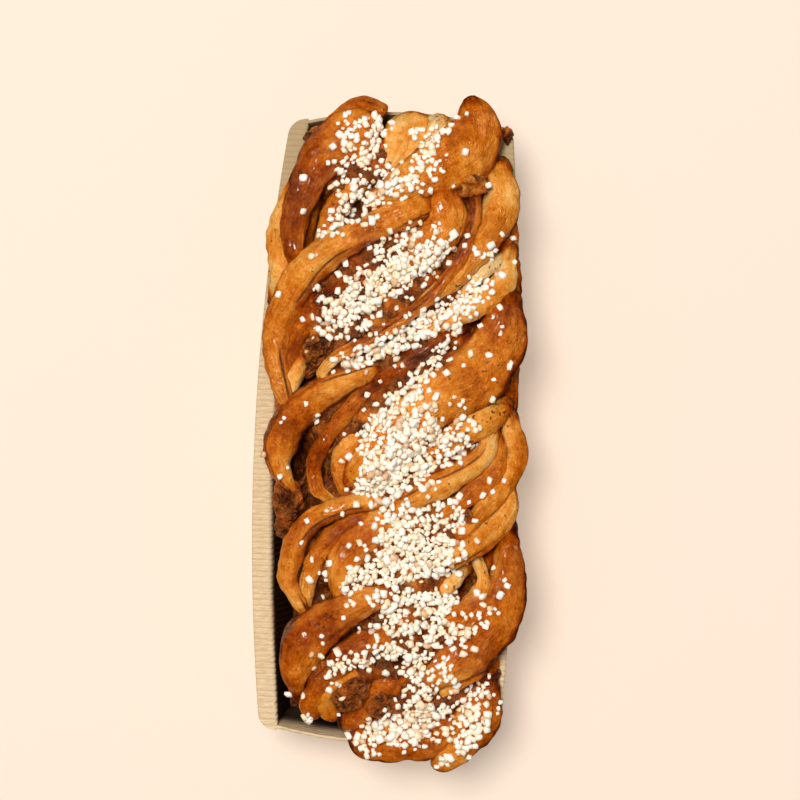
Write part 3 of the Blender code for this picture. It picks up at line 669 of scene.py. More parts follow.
def add_piece(name, skin, material, node, smooth=True):
    """The skin as an object of its own, which stands for a node of the frame."""
    mesh = bpy.data.meshes.new(name)
    count = len(skin.triangles)
    mesh.vertices.add(len(skin.points))
    mesh.vertices.foreach_set("co", (skin.points * MM).astype(np.float32).ravel())
    mesh.loops.add(3 * count)
    mesh.loops.foreach_set("vertex_index", skin.triangles.astype(np.int32).ravel())
    mesh.polygons.add(count)
    mesh.polygons.foreach_set("loop_start", np.arange(0, 3 * count, 3, dtype=np.int32))
    mesh.update(calc_edges=True)
    mesh.uv_layers.new(name="UVMap").uv.foreach_set("vector", (skin.uv * MM).astype(np.float32).ravel())
    for shade, values in skin.shades.items():
        layer = mesh.attributes.new(shade, "FLOAT", "POINT")
        layer.data.foreach_set("value", values.astype(np.float32))
    if smooth:
        mesh.shade_smooth()
    mesh.materials.append(material)
    item = bpy.data.objects.new(name, mesh)
    bpy.context.scene.collection.objects.link(item)
    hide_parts(node)
    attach(item, "root")


def fold_plan(fold, look):
    """Even points on a fold's ridge with their share of its path, and how far along each lies.

    The ridge is the Catmull-Rom curve through the path, and runs straight on at
    each end that isn't free.
    """
    count = POINTS_A_KNOT * len(fold.path)
    line = np.column_stack([smooth_line(fold.path, count), np.linspace(0.0, 1.0, count)])
    first = (line[0] - line[1]) * (1.0, 1.0, 0.0)
    last = (line[-1] - line[-2]) * (1.0, 1.0, 0.0)
    if not fold.open_start:
        line = np.vstack([line[0] + unit(first) * RUN_ON, line])
    if not fold.open_end:
        line = np.vstack([line, line[-1] + unit(last) * RUN_ON])
    return even_line(line, look.cell_along / MM)


def fold_end(distance, width, free):
    """How open a profile is near a fold's end, and how far it is tucked under there.

    Over half a width it opens as the square root of one less a square, and the
    tuck falls off as a square.
    """
    closing = 1.0 - np.minimum(distance / (width / 2), 1.0)
    depth, reach = (FREE_TUCK, FREE_TUCK_LENGTH) if free else (HIDDEN_TUCK, HIDDEN_TUCK_LENGTH)
    tuck = depth * (1.0 - np.minimum(distance / reach, 1.0)) ** 2
    return np.sqrt(np.maximum(1.0 - closing ** 2, LEAST_CLOSING)), tuck


def fold_axes(x, y, top):
    """The ways across a fold and up from it at each point of its ridge.

    Up leans with a share of the dome's slope, made square to the way ahead, and
    across is square to both.
    """
    heading = unit(running_mean(np.gradient(np.stack([x, y, top], axis=1), axis=0), HEADING_ROWS))
    slope = (dome(x + 1.0, y) - dome(x - 1.0, y)) / 2
    lean = np.stack([-FOLD_LEAN * slope, 0 * x, 0 * x + 1.0], axis=1)
    lean -= heading * np.sum(lean * heading, axis=1, keepdims=True)
    lean = unit(lean)
    return np.cross(heading, lean), lean


def layer_edge(fold, place, width, turn, seed, look):
    """The groove along the edge of a layer and the step beyond it, each from 0 to 1.

    The groove is e to the minus square of the distance to a wandering line on the
    fold's top, and comes and goes along it. The step is smooth across that line.
    """
    wander = LAYER_WANDER * ripple(place[:, None], LAYER_WANDER_WAVE, seed + 6)[:, None]
    away = (np.cos(turn) - fold.split - wander) * width[:, None] / 2
    layered = fold.split != 0.0
    groove = np.exp(-(away / look.layer_width * MM) ** 2) * (np.sin(turn) > 0.0) * layered
    groove = groove * smooth_step(ripple(place[:, None], LAYER_BREAK_WAVE, seed + 7), *LAYER_BREAKS)[:, None]
    step = smooth_step(away * np.sign(fold.split), -LAYER_STEP, LAYER_STEP) * layered
    return groove, step


def fold_skin(fold, seed, look):
    """One fold of dough.

    A superelliptic profile is carried along the fold's curve. Its half height is
    a share of its width, its top follows the dome, and both ends close as the
    square root of one less a square. Lumps and lengthwise creases stand out of it.
    """
    plan, place = fold_plan(fold, look)
    x, y, share = plan.T
    waver = 1.0 + WIDTH_WAVER * ripple(place[:, None] / WIDTH_WAVE, 1.0, seed)
    width = running_mean(FOLD_SWELL * spread(fold.width, share) * waver, SMOOTHED_ROWS)
    half_height = running_mean(np.minimum(FOLD_FLATNESS * width, FOLD_MAX_HALF_HEIGHT), SMOOTHED_ROWS)
    round_first, tuck_first = fold_end(place, width, fold.open_start)
    round_last, tuck_last = fold_end(place[-1] - place, width, fold.open_end)
    closing = np.minimum(round_first, round_last)[:, None]
    top = dome(x, y) + fold.lift - tuck_first - tuck_last
    aside, lean = fold_axes(x, y, top)

    # The profile round the ridge, and which way each of its points faces.
    girth = width.max() + 2 * half_height.max()
    columns = max(int(round(math.pi * girth / 2 / (look.cell_around / MM))), LEAST_COLUMNS)
    turn = full_turn(columns, FOLD_CROWDING)
    reach = blunt(np.cos(turn), FOLD_BLUNTNESS)
    rise = blunt(np.sin(turn), FOLD_BLUNTNESS)
    out = (aside[:, None] * (reach * width[:, None] / 2)[..., None]
           + lean[:, None] * (rise * half_height[:, None])[..., None])
    normal = unit(aside[:, None] * (np.cos(turn) * half_height[:, None])[..., None]
                  + lean[:, None] * (np.sin(turn) * width[:, None] / 2)[..., None])
    rings = np.stack([x, y, top - half_height], axis=1)[:, None] + out * closing[..., None]

    # Lumps, layers and creases that stand out of it or sink in.
    along = np.broadcast_to(place[:, None], rings.shape[:2])
    around = turn * girth / 4 + np.zeros_like(along)
    layer, step = layer_edge(fold, place, width, turn, seed, look)
    flat = np.stack([along / look.crease_stretch, around], axis=-1)
    lumps = ripples(rings, FOLD_LUMPS, seed + 1)
    creases = ripples(flat, FOLD_CREASES, seed + 3, CREASE_WAYS)
    relief = (look.lump_height * lumps - look.layer_depth * (layer + 0.5 * step)
              + look.crease_height * creases) / MM
    points = clear_of_case(rings + normal * (relief * np.sqrt(closing))[..., None])

    # Its sides are paler, and it is browner past a layer's edge. It is stickier in that edge's groove. Low
    # down it is painted browner and darker, which is painted shade in the crevices as well as filling
    # gathered there, and under the sugar it is painted darker, which is painted shade under the grains as
    # well as caramelised filling.
    depth = (dome(x, y) + fold.lift)[:, None] - points[..., 2]
    side = np.abs(np.cos(turn)) ** 3 * np.ones_like(along)
    bake = spread(fold.bake, share)[:, None] + BAKE_PATCH * ripple(points, BAKE_PATCH_WAVE, seed + 5)
    bake = bake - PALE_SIDE * side + BAKE_BEYOND_LAYER * step
    sugar = smooth_step(strewn(points[..., 0], points[..., 1]), *SUGARY_COVERS)
    shades = {
        "bake": np.clip(bake + PAINTED_SHADE_BELOW_TOP * smooth_step(depth, *PAINTED_SHADE_DEPTHS), 0.0, 1.0),
        "soak": np.maximum(smooth_step(depth, *FILLING_AND_SHADE_DEPTHS), SOAK_IN_LAYER * layer)
        + FILLING_AND_SHADE_UNDER_SUGAR * sugar,
        "spots": fold.spots + 0 * along,
    }
    return tube_skin(points, along, around, shades)


def core_skin(seed, look):
    """The dough under the folds.

    A superelliptic profile is carried along y. It fills the case, its top keeps an
    even depth below the dome, and it closes at the ends as the square root of one
    less a high power. Its top is lumpy and sinks in the gaps between the folds.
    """
    ahead = np.linspace(-CORE_END_TURN, CORE_END_TURN, CORE_ROWS)[:, None]
    y = CORE_HALF_LENGTH * np.sin(ahead)
    closing = np.sqrt(np.maximum(1.0 - np.abs(np.sin(ahead)) ** CORE_END_POWER, 0.0))
    swell = np.maximum(closing, CORE_LEAST_SWELL)
    lower = 1.0 / (1.0 + np.exp((y - LEFT_HOLLOW_FROM) / LEFT_HOLLOW_FADE))
    bulge = 1.0 - (y / (CASE_LENGTH / 2)) ** 2
    reach = CASE_HALF_WIDTH + CASE_TAPER * y - BOARD - GAP - CORE_SIDE_GAP
    right = reach + RIGHT_BULGE * bulge
    left = reach + LEFT_BULGE * bulge - LEFT_HOLLOW * lower
    turn = full_turn(CORE_COLUMNS, CORE_CROWDING)
    power = np.where(np.sin(turn) > 0.0, CORE_TOP_POWER, CORE_FOOT_POWER)
    side = np.where(np.cos(turn) > 0.0, right, left)
    x = blunt(np.cos(turn), power) * side * swell
    top = dome(x, y) - CORE_BELOW_DOME
    base = BOARD + GAP
    z = (top + base) / 2 + blunt(np.sin(turn), power) * (top - base) / 2 * swell
    x = x - np.sign(x) * WALL_LEAN * (1.0 - np.minimum(z / CASE_HEIGHT, 1.0)) * np.abs(x) / side
    y = y + 0 * x
    rings = np.stack([x, y, z], axis=-1)
    upper = smooth_step(z, *CORE_TOP_HEIGHTS)
    gap = sunk(x, y)
    rings[..., 2] += upper * (ripples(rings, CORE_LUMPS, seed) + look.core_rise / MM - gap)
    points = clear_of_case(rings)
    # Deep in the gaps the core is painted darker, as filling and as painted shade.
    soak = CORE_SOAK + 0.25 * ripple(points, 9.0, seed + 3) + gap / CORE_GAP_SHADE_DEPTH
    shades = {
        "bake": np.clip(CORE_BAKE + 0.2 * ripple(points, 16.0, seed + 2), 0.0, 1.0),
        "soak": np.clip(soak, 0.0, 1.0) * upper,
        "spots": 0.4 + 0 * x,
    }
    return tube_skin(points, points[..., 1], points[..., 0], shades)


def lump_skin(lump, seed):
    """A rough lump of filling: an ellipsoid with ripples of three sizes standing out of it."""
    polar = np.linspace(0.02, math.pi - 0.02, LUMP_ROWS)[:, None]
    turn = 2.0 * math.pi * np.arange(LUMP_COLUMNS) / LUMP_COLUMNS
    ball = np.stack([np.sin(polar) * np.cos(turn), np.sin(polar) * np.sin(turn), np.cos(polar) + 0 * turn],
                    axis=-1)
    body = ball * (lump.length, lump.width, lump.height)
    ridges = (np.abs(ripple(body, RIDGE_WAVES[0], seed + 1))
              + 0.5 * np.abs(ripple(body, RIDGE_WAVES[1], seed + 2)))
    relief = SWELL_HEIGHT * ripple(body, SWELL_WAVE, seed) - RIDGE_DEPTH * (ridges - RIDGE_MIDDLE)
    body = body + ball * relief[..., None]
    lean = math.radians(lump.lean)
    x = lump.x + body[..., 0] * math.cos(lean) - body[..., 1] * math.sin(lean)
    y = lump.y + body[..., 0] * math.sin(lean) + body[..., 1] * math.cos(lean)
    z = dome(lump.x, lump.y) + lump.rise - lump.height + body[..., 2]
    points = clear_of_case(np.stack([x, y, z], axis=-1))
    # It is painted darker in its hollows, as sticky filling and as painted shade.
    shades = {
        "bake": np.clip(lump.bake + 0.15 * ripple(points, 4.0, seed + 3), 0.0, 1.0),
        "soak": np.clip(lump.soak + 0.2 - 0.6 * relief, 0.0, 1.0),
        "spots": 0.3 + 0 * relief,
    }
    return tube_skin(points, polar * lump.length + 0 * turn, turn * lump.width + 0 * polar, shades)


def grooves(place, look):
    """Depth of the grooves between flutes: e to the minus square of the way to the nearest one."""
    turn = place / FLUTE
    return np.exp(-((turn - np.round(turn)) * GROOVE_SHARPNESS) ** 2) * look.groove_depth / MM


def board_reach(y, side, height, share, inset):
    """How far out the open case's board reaches, column by column.

    A share from 1 to 2 lies on the flange, 1 on the wall, and less on the floor.
    The flange ends in quarter circles.
    """
    past = np.clip((np.abs(y) - (FLANGE_HALF_LENGTH - FLANGE_WIDTH)) / FLANGE_WIDTH, 0.0, 1.0)
    flange = FLANGE_WIDTH * np.sqrt(1.0 - past ** 2)
    half = case_half_width(y, height, side) - inset
    return side * np.where(share > 1.0, half + (share - 1.0) * (flange + inset), half * share)


def case_skin(look):
    """The long walls, flanges and floor as one board.

    A profile of flange, wall, floor, wall and flange is carried along y. Narrow
    grooves cross it at an even pitch, and the walls waver a little.
    """
    flange = np.linspace(2.0, 1.0, FLANGE_POINTS)[:-1]
    rise = np.linspace(CASE_HEIGHT, 0.0, WALL_POINTS)
    floor = np.linspace(1.0, 0.0, FLOOR_POINTS)[1:]
    heights = np.concatenate([0 * flange + CASE_HEIGHT, rise, 0 * floor])
    shares = np.concatenate([flange, 0 * rise + 1.0, floor])
    side = np.concatenate([-np.ones(len(heights)), np.ones(len(heights) - 1)])
    heights = np.concatenate([heights, heights[-2::-1]])
    shares = np.concatenate([shares, shares[-2::-1]])
    wall = (shares == 1.0) & (heights > 0.0)
    t = np.linspace(-1.0, 1.0, int(2 * FLANGE_HALF_LENGTH / (look.cell / MM)))[:, None]
    # The face towards the loaf comes first, then the one towards the outside.
    faces = []
    for inwards, inset in ((1.0, BOARD), (-1.0, 0.0)):
        height = np.clip(heights, inset, CASE_HEIGHT - BOARD + inset)
        y = t * np.where(shares > 1.0, FLANGE_HALF_LENGTH, case_half_length(1.0, height) - BOARD)
        groove = grooves(y, look)
        flat = np.stack([y + 0 * height, height + 0 * y], axis=-1)
        waver = WALL_WAVER * ripple(flat, WALL_WAVE, WALL_SEED) * (heights > FOOT_HEIGHT)
        x = board_reach(y, side, height, shares, inset) + side * wall * (waver + inwards * groove)
        z = height + 0 * y - ~wall * inwards * groove + (shares > 1.0) * 0.5 * waver
        faces.append(np.stack([x, y, z], axis=-1))
    along = faces[0][..., 1]
    around = np.broadcast_to(np.cumsum(np.full(len(heights), TEXTURE_STEP)), along.shape)
    # Below the rim the inside is painted dark, as grease and as painted shade.
    stain = smooth_step(CASE_HEIGHT - heights, *SIDE_GREASE_AND_SHADE_DEPTHS)
    return slab_skin(*faces, along, around, {"stain": np.broadcast_to(stain, along.shape)})


def end_skin(end, look):
    """An end wall: a bowed board between the long walls, with grooves that run level."""
    t = np.linspace(-1.0, 1.0, END_POINTS)
    height = np.linspace(0.0, CASE_HEIGHT, int(CASE_HEIGHT / (look.cell / MM)))[:, None]
    faces = []
    for inwards, inset, level in ((1.0, BOARD, np.maximum(height, BOARD)), (-1.0, 0.0, height)):
        groove = end * inwards * grooves(level, look)
        y = end * (case_half_length(t, level) - inset) + groove
        x = t * case_half_width(end * CASE_LENGTH / 2, level, t)
        faces.append(np.stack([x, y, level + 0 * t], axis=-1))
    along = faces[0][..., 2]
    # Below the rim the inside is painted dark, as grease and as painted shade.
    stain = END_GREASE_AND_SHADE * smooth_step(CASE_HEIGHT - height, *END_GREASE_AND_SHADE_DEPTHS)
    return slab_skin(*faces, along, faces[0][..., 0], {"stain": np.broadcast_to(stain, along.shape)})


def grain_pattern():
    """The directions to a cube's corners and faces, and the triangles between them."""
    steps = np.arange(-1, 2)
    ways = np.array(np.meshgrid(steps, steps, steps)).reshape(3, -1).T
    ways = unit(ways[np.isin(np.sum(ways != 0, axis=1), (1, 3))].astype(float))
    shape = bmesh.new()
    for way in ways:
        shape.verts.new(way)
    shape.verts.index_update()
    bmesh.ops.convex_hull(shape, input=shape.verts)
    bmesh.ops.triangulate(shape, faces=shape.faces)
    triangles = np.array([[vertex.index for vertex in face.verts] for face in shape.faces])
    shape.free()
    return ways, triangles


def place_in_drift(drift, draw):
    """A seeded place spread evenly over a drift's ellipse, or now and then over a larger one."""
    lean = math.radians(drift.lean)
    reach = math.sqrt(draw.random()) * (STRAY_REACH if draw.random() < STRAY_SHARE else DRIFT_REACH)
    turn = draw.uniform(0.0, 2.0 * math.pi)
    u = drift.length * reach * math.cos(turn)
    v = drift.width * reach * math.sin(turn)
    x = drift.x + u * math.cos(lean) - v * math.sin(lean)
    y = drift.y + u * math.sin(lean) + v * math.cos(lean)
    return x, y


def grain_places(tree, look):
    """Seeded grains where rays from above meet the loaf, none too close to another.

    The thickest drifts come first. Where one is thick, a grain that finds no room
    may lie on three others.
    """
    draw = np.random.default_rng(look.seed)
    grains = []
    centres = np.zeros((0, 3))
    radii = np.zeros(0)
    for number in np.argsort([-drift.cover for drift in DRIFTS]):
        drift = DRIFTS[number]
        area = math.pi * drift.length * drift.width
        wanted = int(round(area * drift.cover / (look.area_each / MM ** 2)))
        layers = (LOWER_LAYER,) if drift.cover < TWO_LAYER_COVER else (LOWER_LAYER, UPPER_LAYER)
        for _ in range(wanted * TRIES_A_GRAIN):
            if wanted <= 0:
                break
            x, y = place_in_drift(drift, draw)
            if sunk(x, y) > EMPTY_PIT_DEPTH and draw.random() < EMPTY_PIT_SHARE:
                continue
            size = draw.random() ** GRAIN_SIZE_POWER
            radius = look.smallest / MM + (look.largest - look.smallest) / MM * size
            hit, normal = tree.ray_cast(Vector((x, y, RAY_FROM)) * MM, Vector((0.0, 0.0, -1.0)))[:2]
            if hit is None or normal.z < LEAST_UPRIGHT or hit.z < (CASE_HEIGHT - LOWEST_UNDER_RIM) * MM:
                continue
            normal = np.array(normal)
            spare = look.spacing * (radii + radius)
            for level in layers:
                centre = np.array(hit) / MM + normal * level * radius
                gaps = np.linalg.norm(centres - centre, axis=1)
                if np.any(gaps <= spare):
                    continue
                if level == UPPER_LAYER and np.sum(gaps < NEIGHBOUR_REACH * spare) < LEAST_NEIGHBOURS:
                    continue
                centres = np.vstack([centres, centre])
                radii = np.append(radii, radius)
                grains.append(Grain(centre, radius, normal))
                wanted -= 1
                break
    return grains


def grains_skin(grains, seed):
    """Grains of sugar as rounded crystals.

    Along each direction a crystal reaches as far as the sum, over its seeded
    planes, of the positive share of the direction along the plane's normal, to
    the thirtieth power, is one. Six of the planes make a box and three cut it.
    """
    ways, triangles = grain_pattern()
    draw = np.random.default_rng(seed)
    count = len(grains)
    square = np.broadcast_to(np.eye(3), (count, 3, 3))
    planes = np.concatenate([square, -square, unit(draw.normal(size=(count, 3, 3)))], axis=1)
    far = [draw.uniform(*BOX_REACH, size=(count, 6)), draw.uniform(*CUT_REACH, size=(count, 3))]
    facing = np.einsum("gpk,dk->gpd", planes, ways) / np.concatenate(far, axis=1)[..., None]
    facing = np.maximum(facing, 0.0)
    reach = 1.0 / np.sum(facing ** CRYSTAL_POWER, axis=1) ** (1.0 / CRYSTAL_POWER)
    sizes = np.stack([draw.uniform(low, high, count) for low, high in CRYSTAL_SIZES], axis=1)
    body = ways[None] * np.minimum(reach, CRYSTAL_LONGEST)[..., None] * sizes[:, None]
    upright = np.array([grain.normal for grain in grains])
    normal = unit(upright + CRYSTAL_TILT * draw.normal(size=(count, 3)))
    aside = unit(np.cross(normal, draw.normal(size=(count, 3))))
    axes = np.stack([aside, np.cross(normal, aside), normal], axis=1)
    centre = np.array([grain.centre for grain in grains])
    radius = np.array([grain.radius for grain in grains])
    points = centre[:, None] + np.einsum("gdk,gkl->gdl", body, axes) * radius[:, None, None]
    index = triangles[None] + (np.arange(count) * len(ways))[:, None, None]
    low = np.clip(0.5 - (points[..., 2] - centre[:, None, 2]) / (1.6 * radius[:, None]), 0.0, 1.0)
    # A few grains are creamy all over, and each one is creamier low down than at its top, as syrup soaked in
    # from beneath and as painted warm shade and light bounced from the dough.
    cream_and_shade = (0.5 * draw.random(count)[:, None] ** 1.8 + 0.65 * low ** 1.3).ravel()
    flat = points.reshape(-1, 3)
    triangles = index.reshape(-1, 3)
    return outwards(Skin(flat, triangles, flat[triangles][..., :2], {"cream_and_shade": cream_and_shade}))


# Single colours of the materials. Places on a ramp hold theirs as seen on a screen.
SPECK_COLOUR = linear(70, 26, 6)
CREASE_SHADE_COLOUR = linear(120, 52, 8)
DUST_COLOUR = linear(176, 92, 26)
GLOSS_TINT = linear(255, 216, 172)
SYRUP_COLOUR = linear(214, 146, 66)
SHADED_PAPER_COLOUR = linear(172, 146, 104)
GROOVE_SHADE_COLOUR = linear(150, 116, 76)

# The stage, in metres: the floor's half size, the lights' and the sky's colours, where the
# lights aim, half the width of the view at the rim, and the camera's place and turn.
FLOOR_HALF_SIZE = 6.0
LAMP_COLOUR = (1.0, 0.985, 0.96)
LAMP_AIM = (0.0, 0.0, 0.05)
SKY_COLOUR = (1.0, 0.99, 0.97, 1.0)
VIEW_HALF_WIDTH = 0.162
CAMERA_PLACE = (0.00335, 0.01147)
CAMERA_TURN = math.radians(2.12)


def wire(tree, source, target):
    """Links an output to an input."""
    tree.links.new(source, target)


def feed(tree, value, socket):
    """Sets an input to a number or a colour, or links an output to it."""
    if isinstance(value, (int, float, tuple)):
        socket.default_value = value
    else:
        wire(tree, value, socket)


def node_group(name, inputs, outputs):
    """An empty shader node group with named sockets, and its two end nodes."""
    tree = bpy.data.node_groups.new(name, "ShaderNodeTree")
    for label, kind, default in inputs:
        socket = tree.interface.new_socket(name=label, in_out="INPUT", socket_type=kind)
        if default is not None:
            socket.default_value = default
    for label, kind in outputs:
        tree.interface.new_socket(name=label, in_out="OUTPUT", socket_type=kind)
    return tree, tree.nodes.new("NodeGroupInput"), tree.nodes.new("NodeGroupOutput")


def noise(tree, place, scale, detail=3.0, roughness=0.55, distortion=0.0):
    """Fractal noise of a scale at a place, about 0.5."""
    item = tree.nodes.new("ShaderNodeTexNoise")
    item.inputs["Scale"].default_value = scale
    item.inputs["Detail"].default_value = detail
    item.inputs["Roughness"].default_value = roughness
    item.inputs["Distortion"].default_value = distortion
    wire(tree, place, item.inputs["Vector"])
    return item.outputs["Fac"]


def stretched(tree, place, scale):
    """A place with each of its coordinates multiplied by its own scale."""
    item = tree.nodes.new("ShaderNodeMapping")
    item.inputs["Scale"].default_value = scale
    wire(tree, place, item.inputs["Vector"])
    return item.outputs["Vector"]


def maths(tree, operation, first, second=0.0, third=0.0, clamp=False):
    """One of the Math node's operations on numbers or outputs."""
    item = tree.nodes.new("ShaderNodeMath")
    item.operation = operation
    item.use_clamp = clamp
    for socket, value in zip(item.inputs, (first, second, third)):
        feed(tree, value, socket)
    return item.outputs["Value"]


def swayed(tree, base, pattern, middle, amount, clamp=False):
    """The base plus an amount times how far a pattern lies over its middle."""
    return maths(tree, "MULTIPLY_ADD", maths(tree, "SUBTRACT", pattern, middle), amount, base, clamp)


def span(tree, value, low, high, low_out=0.0, high_out=1.0):
    """A smooth step between low and high, from one given result to the other."""
    item = tree.nodes.new("ShaderNodeMapRange")
    item.interpolation_type = "SMOOTHSTEP"
    for label, number in (("From Min", low), ("From Max", high), ("To Min", low_out), ("To Max", high_out)):
        item.inputs[label].default_value = number
    wire(tree, value, item.inputs["Value"])
    return item.outputs["Result"]


def blend(tree, share, first, second):
    """The first colour, and by its share the second."""
    item = tree.nodes.new("ShaderNodeMix")
    item.data_type = "RGBA"
    sockets = {socket.identifier: socket for socket in item.inputs}
    for label, value in (("Factor_Float", share), ("A_Color", first), ("B_Color", second)):
        feed(tree, value, sockets[label])
    return {socket.identifier: socket for socket in item.outputs}["Result_Color"]


def ramp(tree, value, *stops):
    """A colour ramp. Each stop is its position and its red, green and blue as seen on a screen."""
    item = tree.nodes.new("ShaderNodeValToRGB")
    elements = item.color_ramp.elements
    while len(elements) < len(stops):
        elements.new(0.5)
    for element, (position, *seen) in zip(elements, stops):
        element.position = position
        element.color = linear(*seen)
    wire(tree, value, item.inputs["Fac"])
    return item.outputs["Color"]


def crease_lines(tree, lay):
    """1 on thin wandering lines that run along a fold, where a stretched noise crosses its middle."""
    wander = noise(tree, stretched(tree, lay, (45.0, 330.0, 1.0)), 1.0, roughness=0.5, distortion=0.8)
    near = maths(tree, "ABSOLUTE", maths(tree, "SUBTRACT", wander, 0.5))
    zone = noise(tree, stretched(tree, lay, (70.0, 140.0, 1.0)), 1.0, detail=1.0)
    return maths(tree, "MULTIPLY", span(tree, near, 0.004, 0.028, 1.0, 0.0), span(tree, zone, 0.42, 0.58))


def crust_colour_group():
    """Baked crust: from pale gold to dark brown by Bake, and to dark filling by Soak and Shade. Both also
    carry painted shade low down in the crevices, and Soak and Shade under the sugar too.
    """
    tree, given, result = node_group("Crust colour", (
        ("Bake", "NodeSocketFloat", 0.5),
        ("Soak", "NodeSocketFloat", 0.0),
        ("Spots", "NodeSocketFloat", 0.3),
        ("Dust", "NodeSocketFloat", 0.0),
        ("Place", "NodeSocketVector", None),
        ("Lay", "NodeSocketVector", None),
    ), (("Color", "NodeSocketColor"), ("Roughness", "NodeSocketFloat"), ("Coat", "NodeSocketFloat")))
    place = given.outputs["Place"]
    lay = given.outputs["Lay"]

    # Patches of three sizes and lengthwise streaks make the baked brown uneven.
    broad = noise(tree, place, 55.0, detail=2.0)
    medium = noise(tree, place, 260.0, detail=4.0, roughness=0.6)
    streak = stretched(tree, lay, (60.0, 420.0, 1.0))
    streak = noise(tree, streak, 1.0, detail=4.0, roughness=0.6, distortion=0.6)
    fine = noise(tree, place, 850.0, detail=2.0, roughness=0.6)
    bake = swayed(tree, given.outputs["Bake"], broad, 0.56, 0.60)
    bake = swayed(tree, bake, medium, 0.5, 0.60)
    bake = swayed(tree, bake, streak, 0.5, 0.34)
    bake = swayed(tree, bake, fine, 0.5, 0.36, clamp=True)
    crust = ramp(
        tree, bake,
        (0.00, 236, 200, 140),
        (0.16, 246, 182, 94),
        (0.34, 232, 144, 44),
        (0.52, 212, 112, 18),
        (0.68, 178, 78, 5),
        (0.84, 134, 47, 2),
        (1.00, 76, 22, 2),
    )

    # Dark specks gather in zones, and painted shade darkens the thin creases that run along the folds.
    pits = maths(tree, "MULTIPLY_ADD", given.outputs["Spots"], 0.10, noise(tree, place, 560.0, detail=1.0))
    zone = maths(tree, "MULTIPLY_ADD", given.outputs["Spots"], 0.25, noise(tree, place, 120.0, detail=1.0))
    specks = maths(tree, "MULTIPLY", span(tree, pits, 0.72, 0.77), span(tree, zone, 0.56, 0.66))
    crust = blend(tree, maths(tree, "MULTIPLY", specks, 0.8), crust, SPECK_COLOUR)
    crust = blend(tree, maths(tree, "MULTIPLY", crease_lines(tree, lay), 0.16), crust, CREASE_SHADE_COLOUR)
    crust = blend(tree, given.outputs["Dust"], crust, DUST_COLOUR)

    # The filling's dark colour covers the crust where it is soaked, and also paints shade where Soak and
    # Shade holds it.
    sticky = noise(tree, place, 380.0, detail=4.0, roughness=0.7, distortion=0.8)
    soak = span(tree, swayed(tree, given.outputs["Soak"], sticky, 0.5, 1.1), 0.25, 0.75)
    filling = ramp(tree, sticky, (0.34, 22, 8, 2), (0.50, 100, 42, 6), (0.66, 178, 98, 28))
    wire(tree, blend(tree, soak, crust, filling), result.inputs["Color"])

    # Browner crust is glossier and glazed in patches, and soaked dough is dull.
    gloss = noise(tree, place, 140.0)
    rough = span(tree, gloss, 0.35, 0.65, 0.06, 0.17)
    rough = maths(tree, "ADD", rough, span(tree, bake, 0.25, 0.65, 0.14, 0.0))
    dull = span(tree, given.outputs["Soak"], 0.0, 0.35)
    wire(tree, maths(tree, "MULTIPLY_ADD", dull, 0.25, rough), result.inputs["Roughness"])
    glaze = span(tree, bake, 0.3, 0.7, 0.0, 0.25)
    glaze = maths(tree, "MULTIPLY", glaze, span(tree, gloss, 0.42, 0.58, 0.3, 1.0))
    wire(tree, maths(tree, "MULTIPLY", glaze, maths(tree, "SUBTRACT", 1.0, dull)), result.inputs["Coat"])
    return tree


def crust_relief_group():
    """Fine wrinkles that run along a fold, and the grain of the crust."""
    tree, given, result = node_group("Crust relief", (
        ("Place", "NodeSocketVector", None),
        ("Lay", "NodeSocketVector", None),
        ("Bake", "NodeSocketFloat", 0.5),
    ), (("Height", "NodeSocketFloat"),))
    lay = given.outputs["Lay"]
    wrinkle = noise(tree, stretched(tree, lay, (420.0, 900.0, 1.0)), 1.0, distortion=1.6)
    grain = noise(tree, given.outputs["Place"], 1100.0, roughness=0.6)
    blister = noise(tree, given.outputs["Place"], 560.0, detail=2.0, roughness=0.5)
    height = maths(tree, "MULTIPLY", wrinkle, span(tree, given.outputs["Bake"], 0.2, 0.8, 0.35, 1.0))
    height = maths(tree, "MULTIPLY_ADD", grain, 0.5, height)
    height = maths(tree, "MULTIPLY_ADD", blister, 0.5, height)
    height = maths(tree, "MULTIPLY_ADD", crease_lines(tree, lay), -0.3, height)
    wire(tree, height, result.inputs["Height"])
    return tree


def sugar_colour_group():
    """Pearl sugar: white to cream by Tint, which also paints warm shade low on each grain, and amber where
    syrup has soaked it.
    """
    tree, given, result = node_group("Sugar colour", (
        ("Tint", "NodeSocketFloat", 0.5),
        ("Syrup", "NodeSocketFloat", 0.0),
        ("Place", "NodeSocketVector", None),
    ), (("Color", "NodeSocketColor"), ("Roughness", "NodeSocketFloat")))
    white = ramp(
        tree, given.outputs["Tint"],
        (0.00, 255, 250, 238),
        (0.35, 255, 242, 218),
        (0.70, 246, 212, 162),
        (1.00, 208, 148, 80),
    )
    mottle = noise(tree, given.outputs["Place"], 700.0)
    syrup = maths(tree, "MULTIPLY", given.outputs["Syrup"], span(tree, mottle, 0.3, 0.7, 0.55, 1.0))
    wire(tree, blend(tree, syrup, white, SYRUP_COLOUR), result.inputs["Color"])
    wire(tree, span(tree, mottle, 0.3, 0.7, 0.28, 0.5), result.inputs["Roughness"])
    return tree


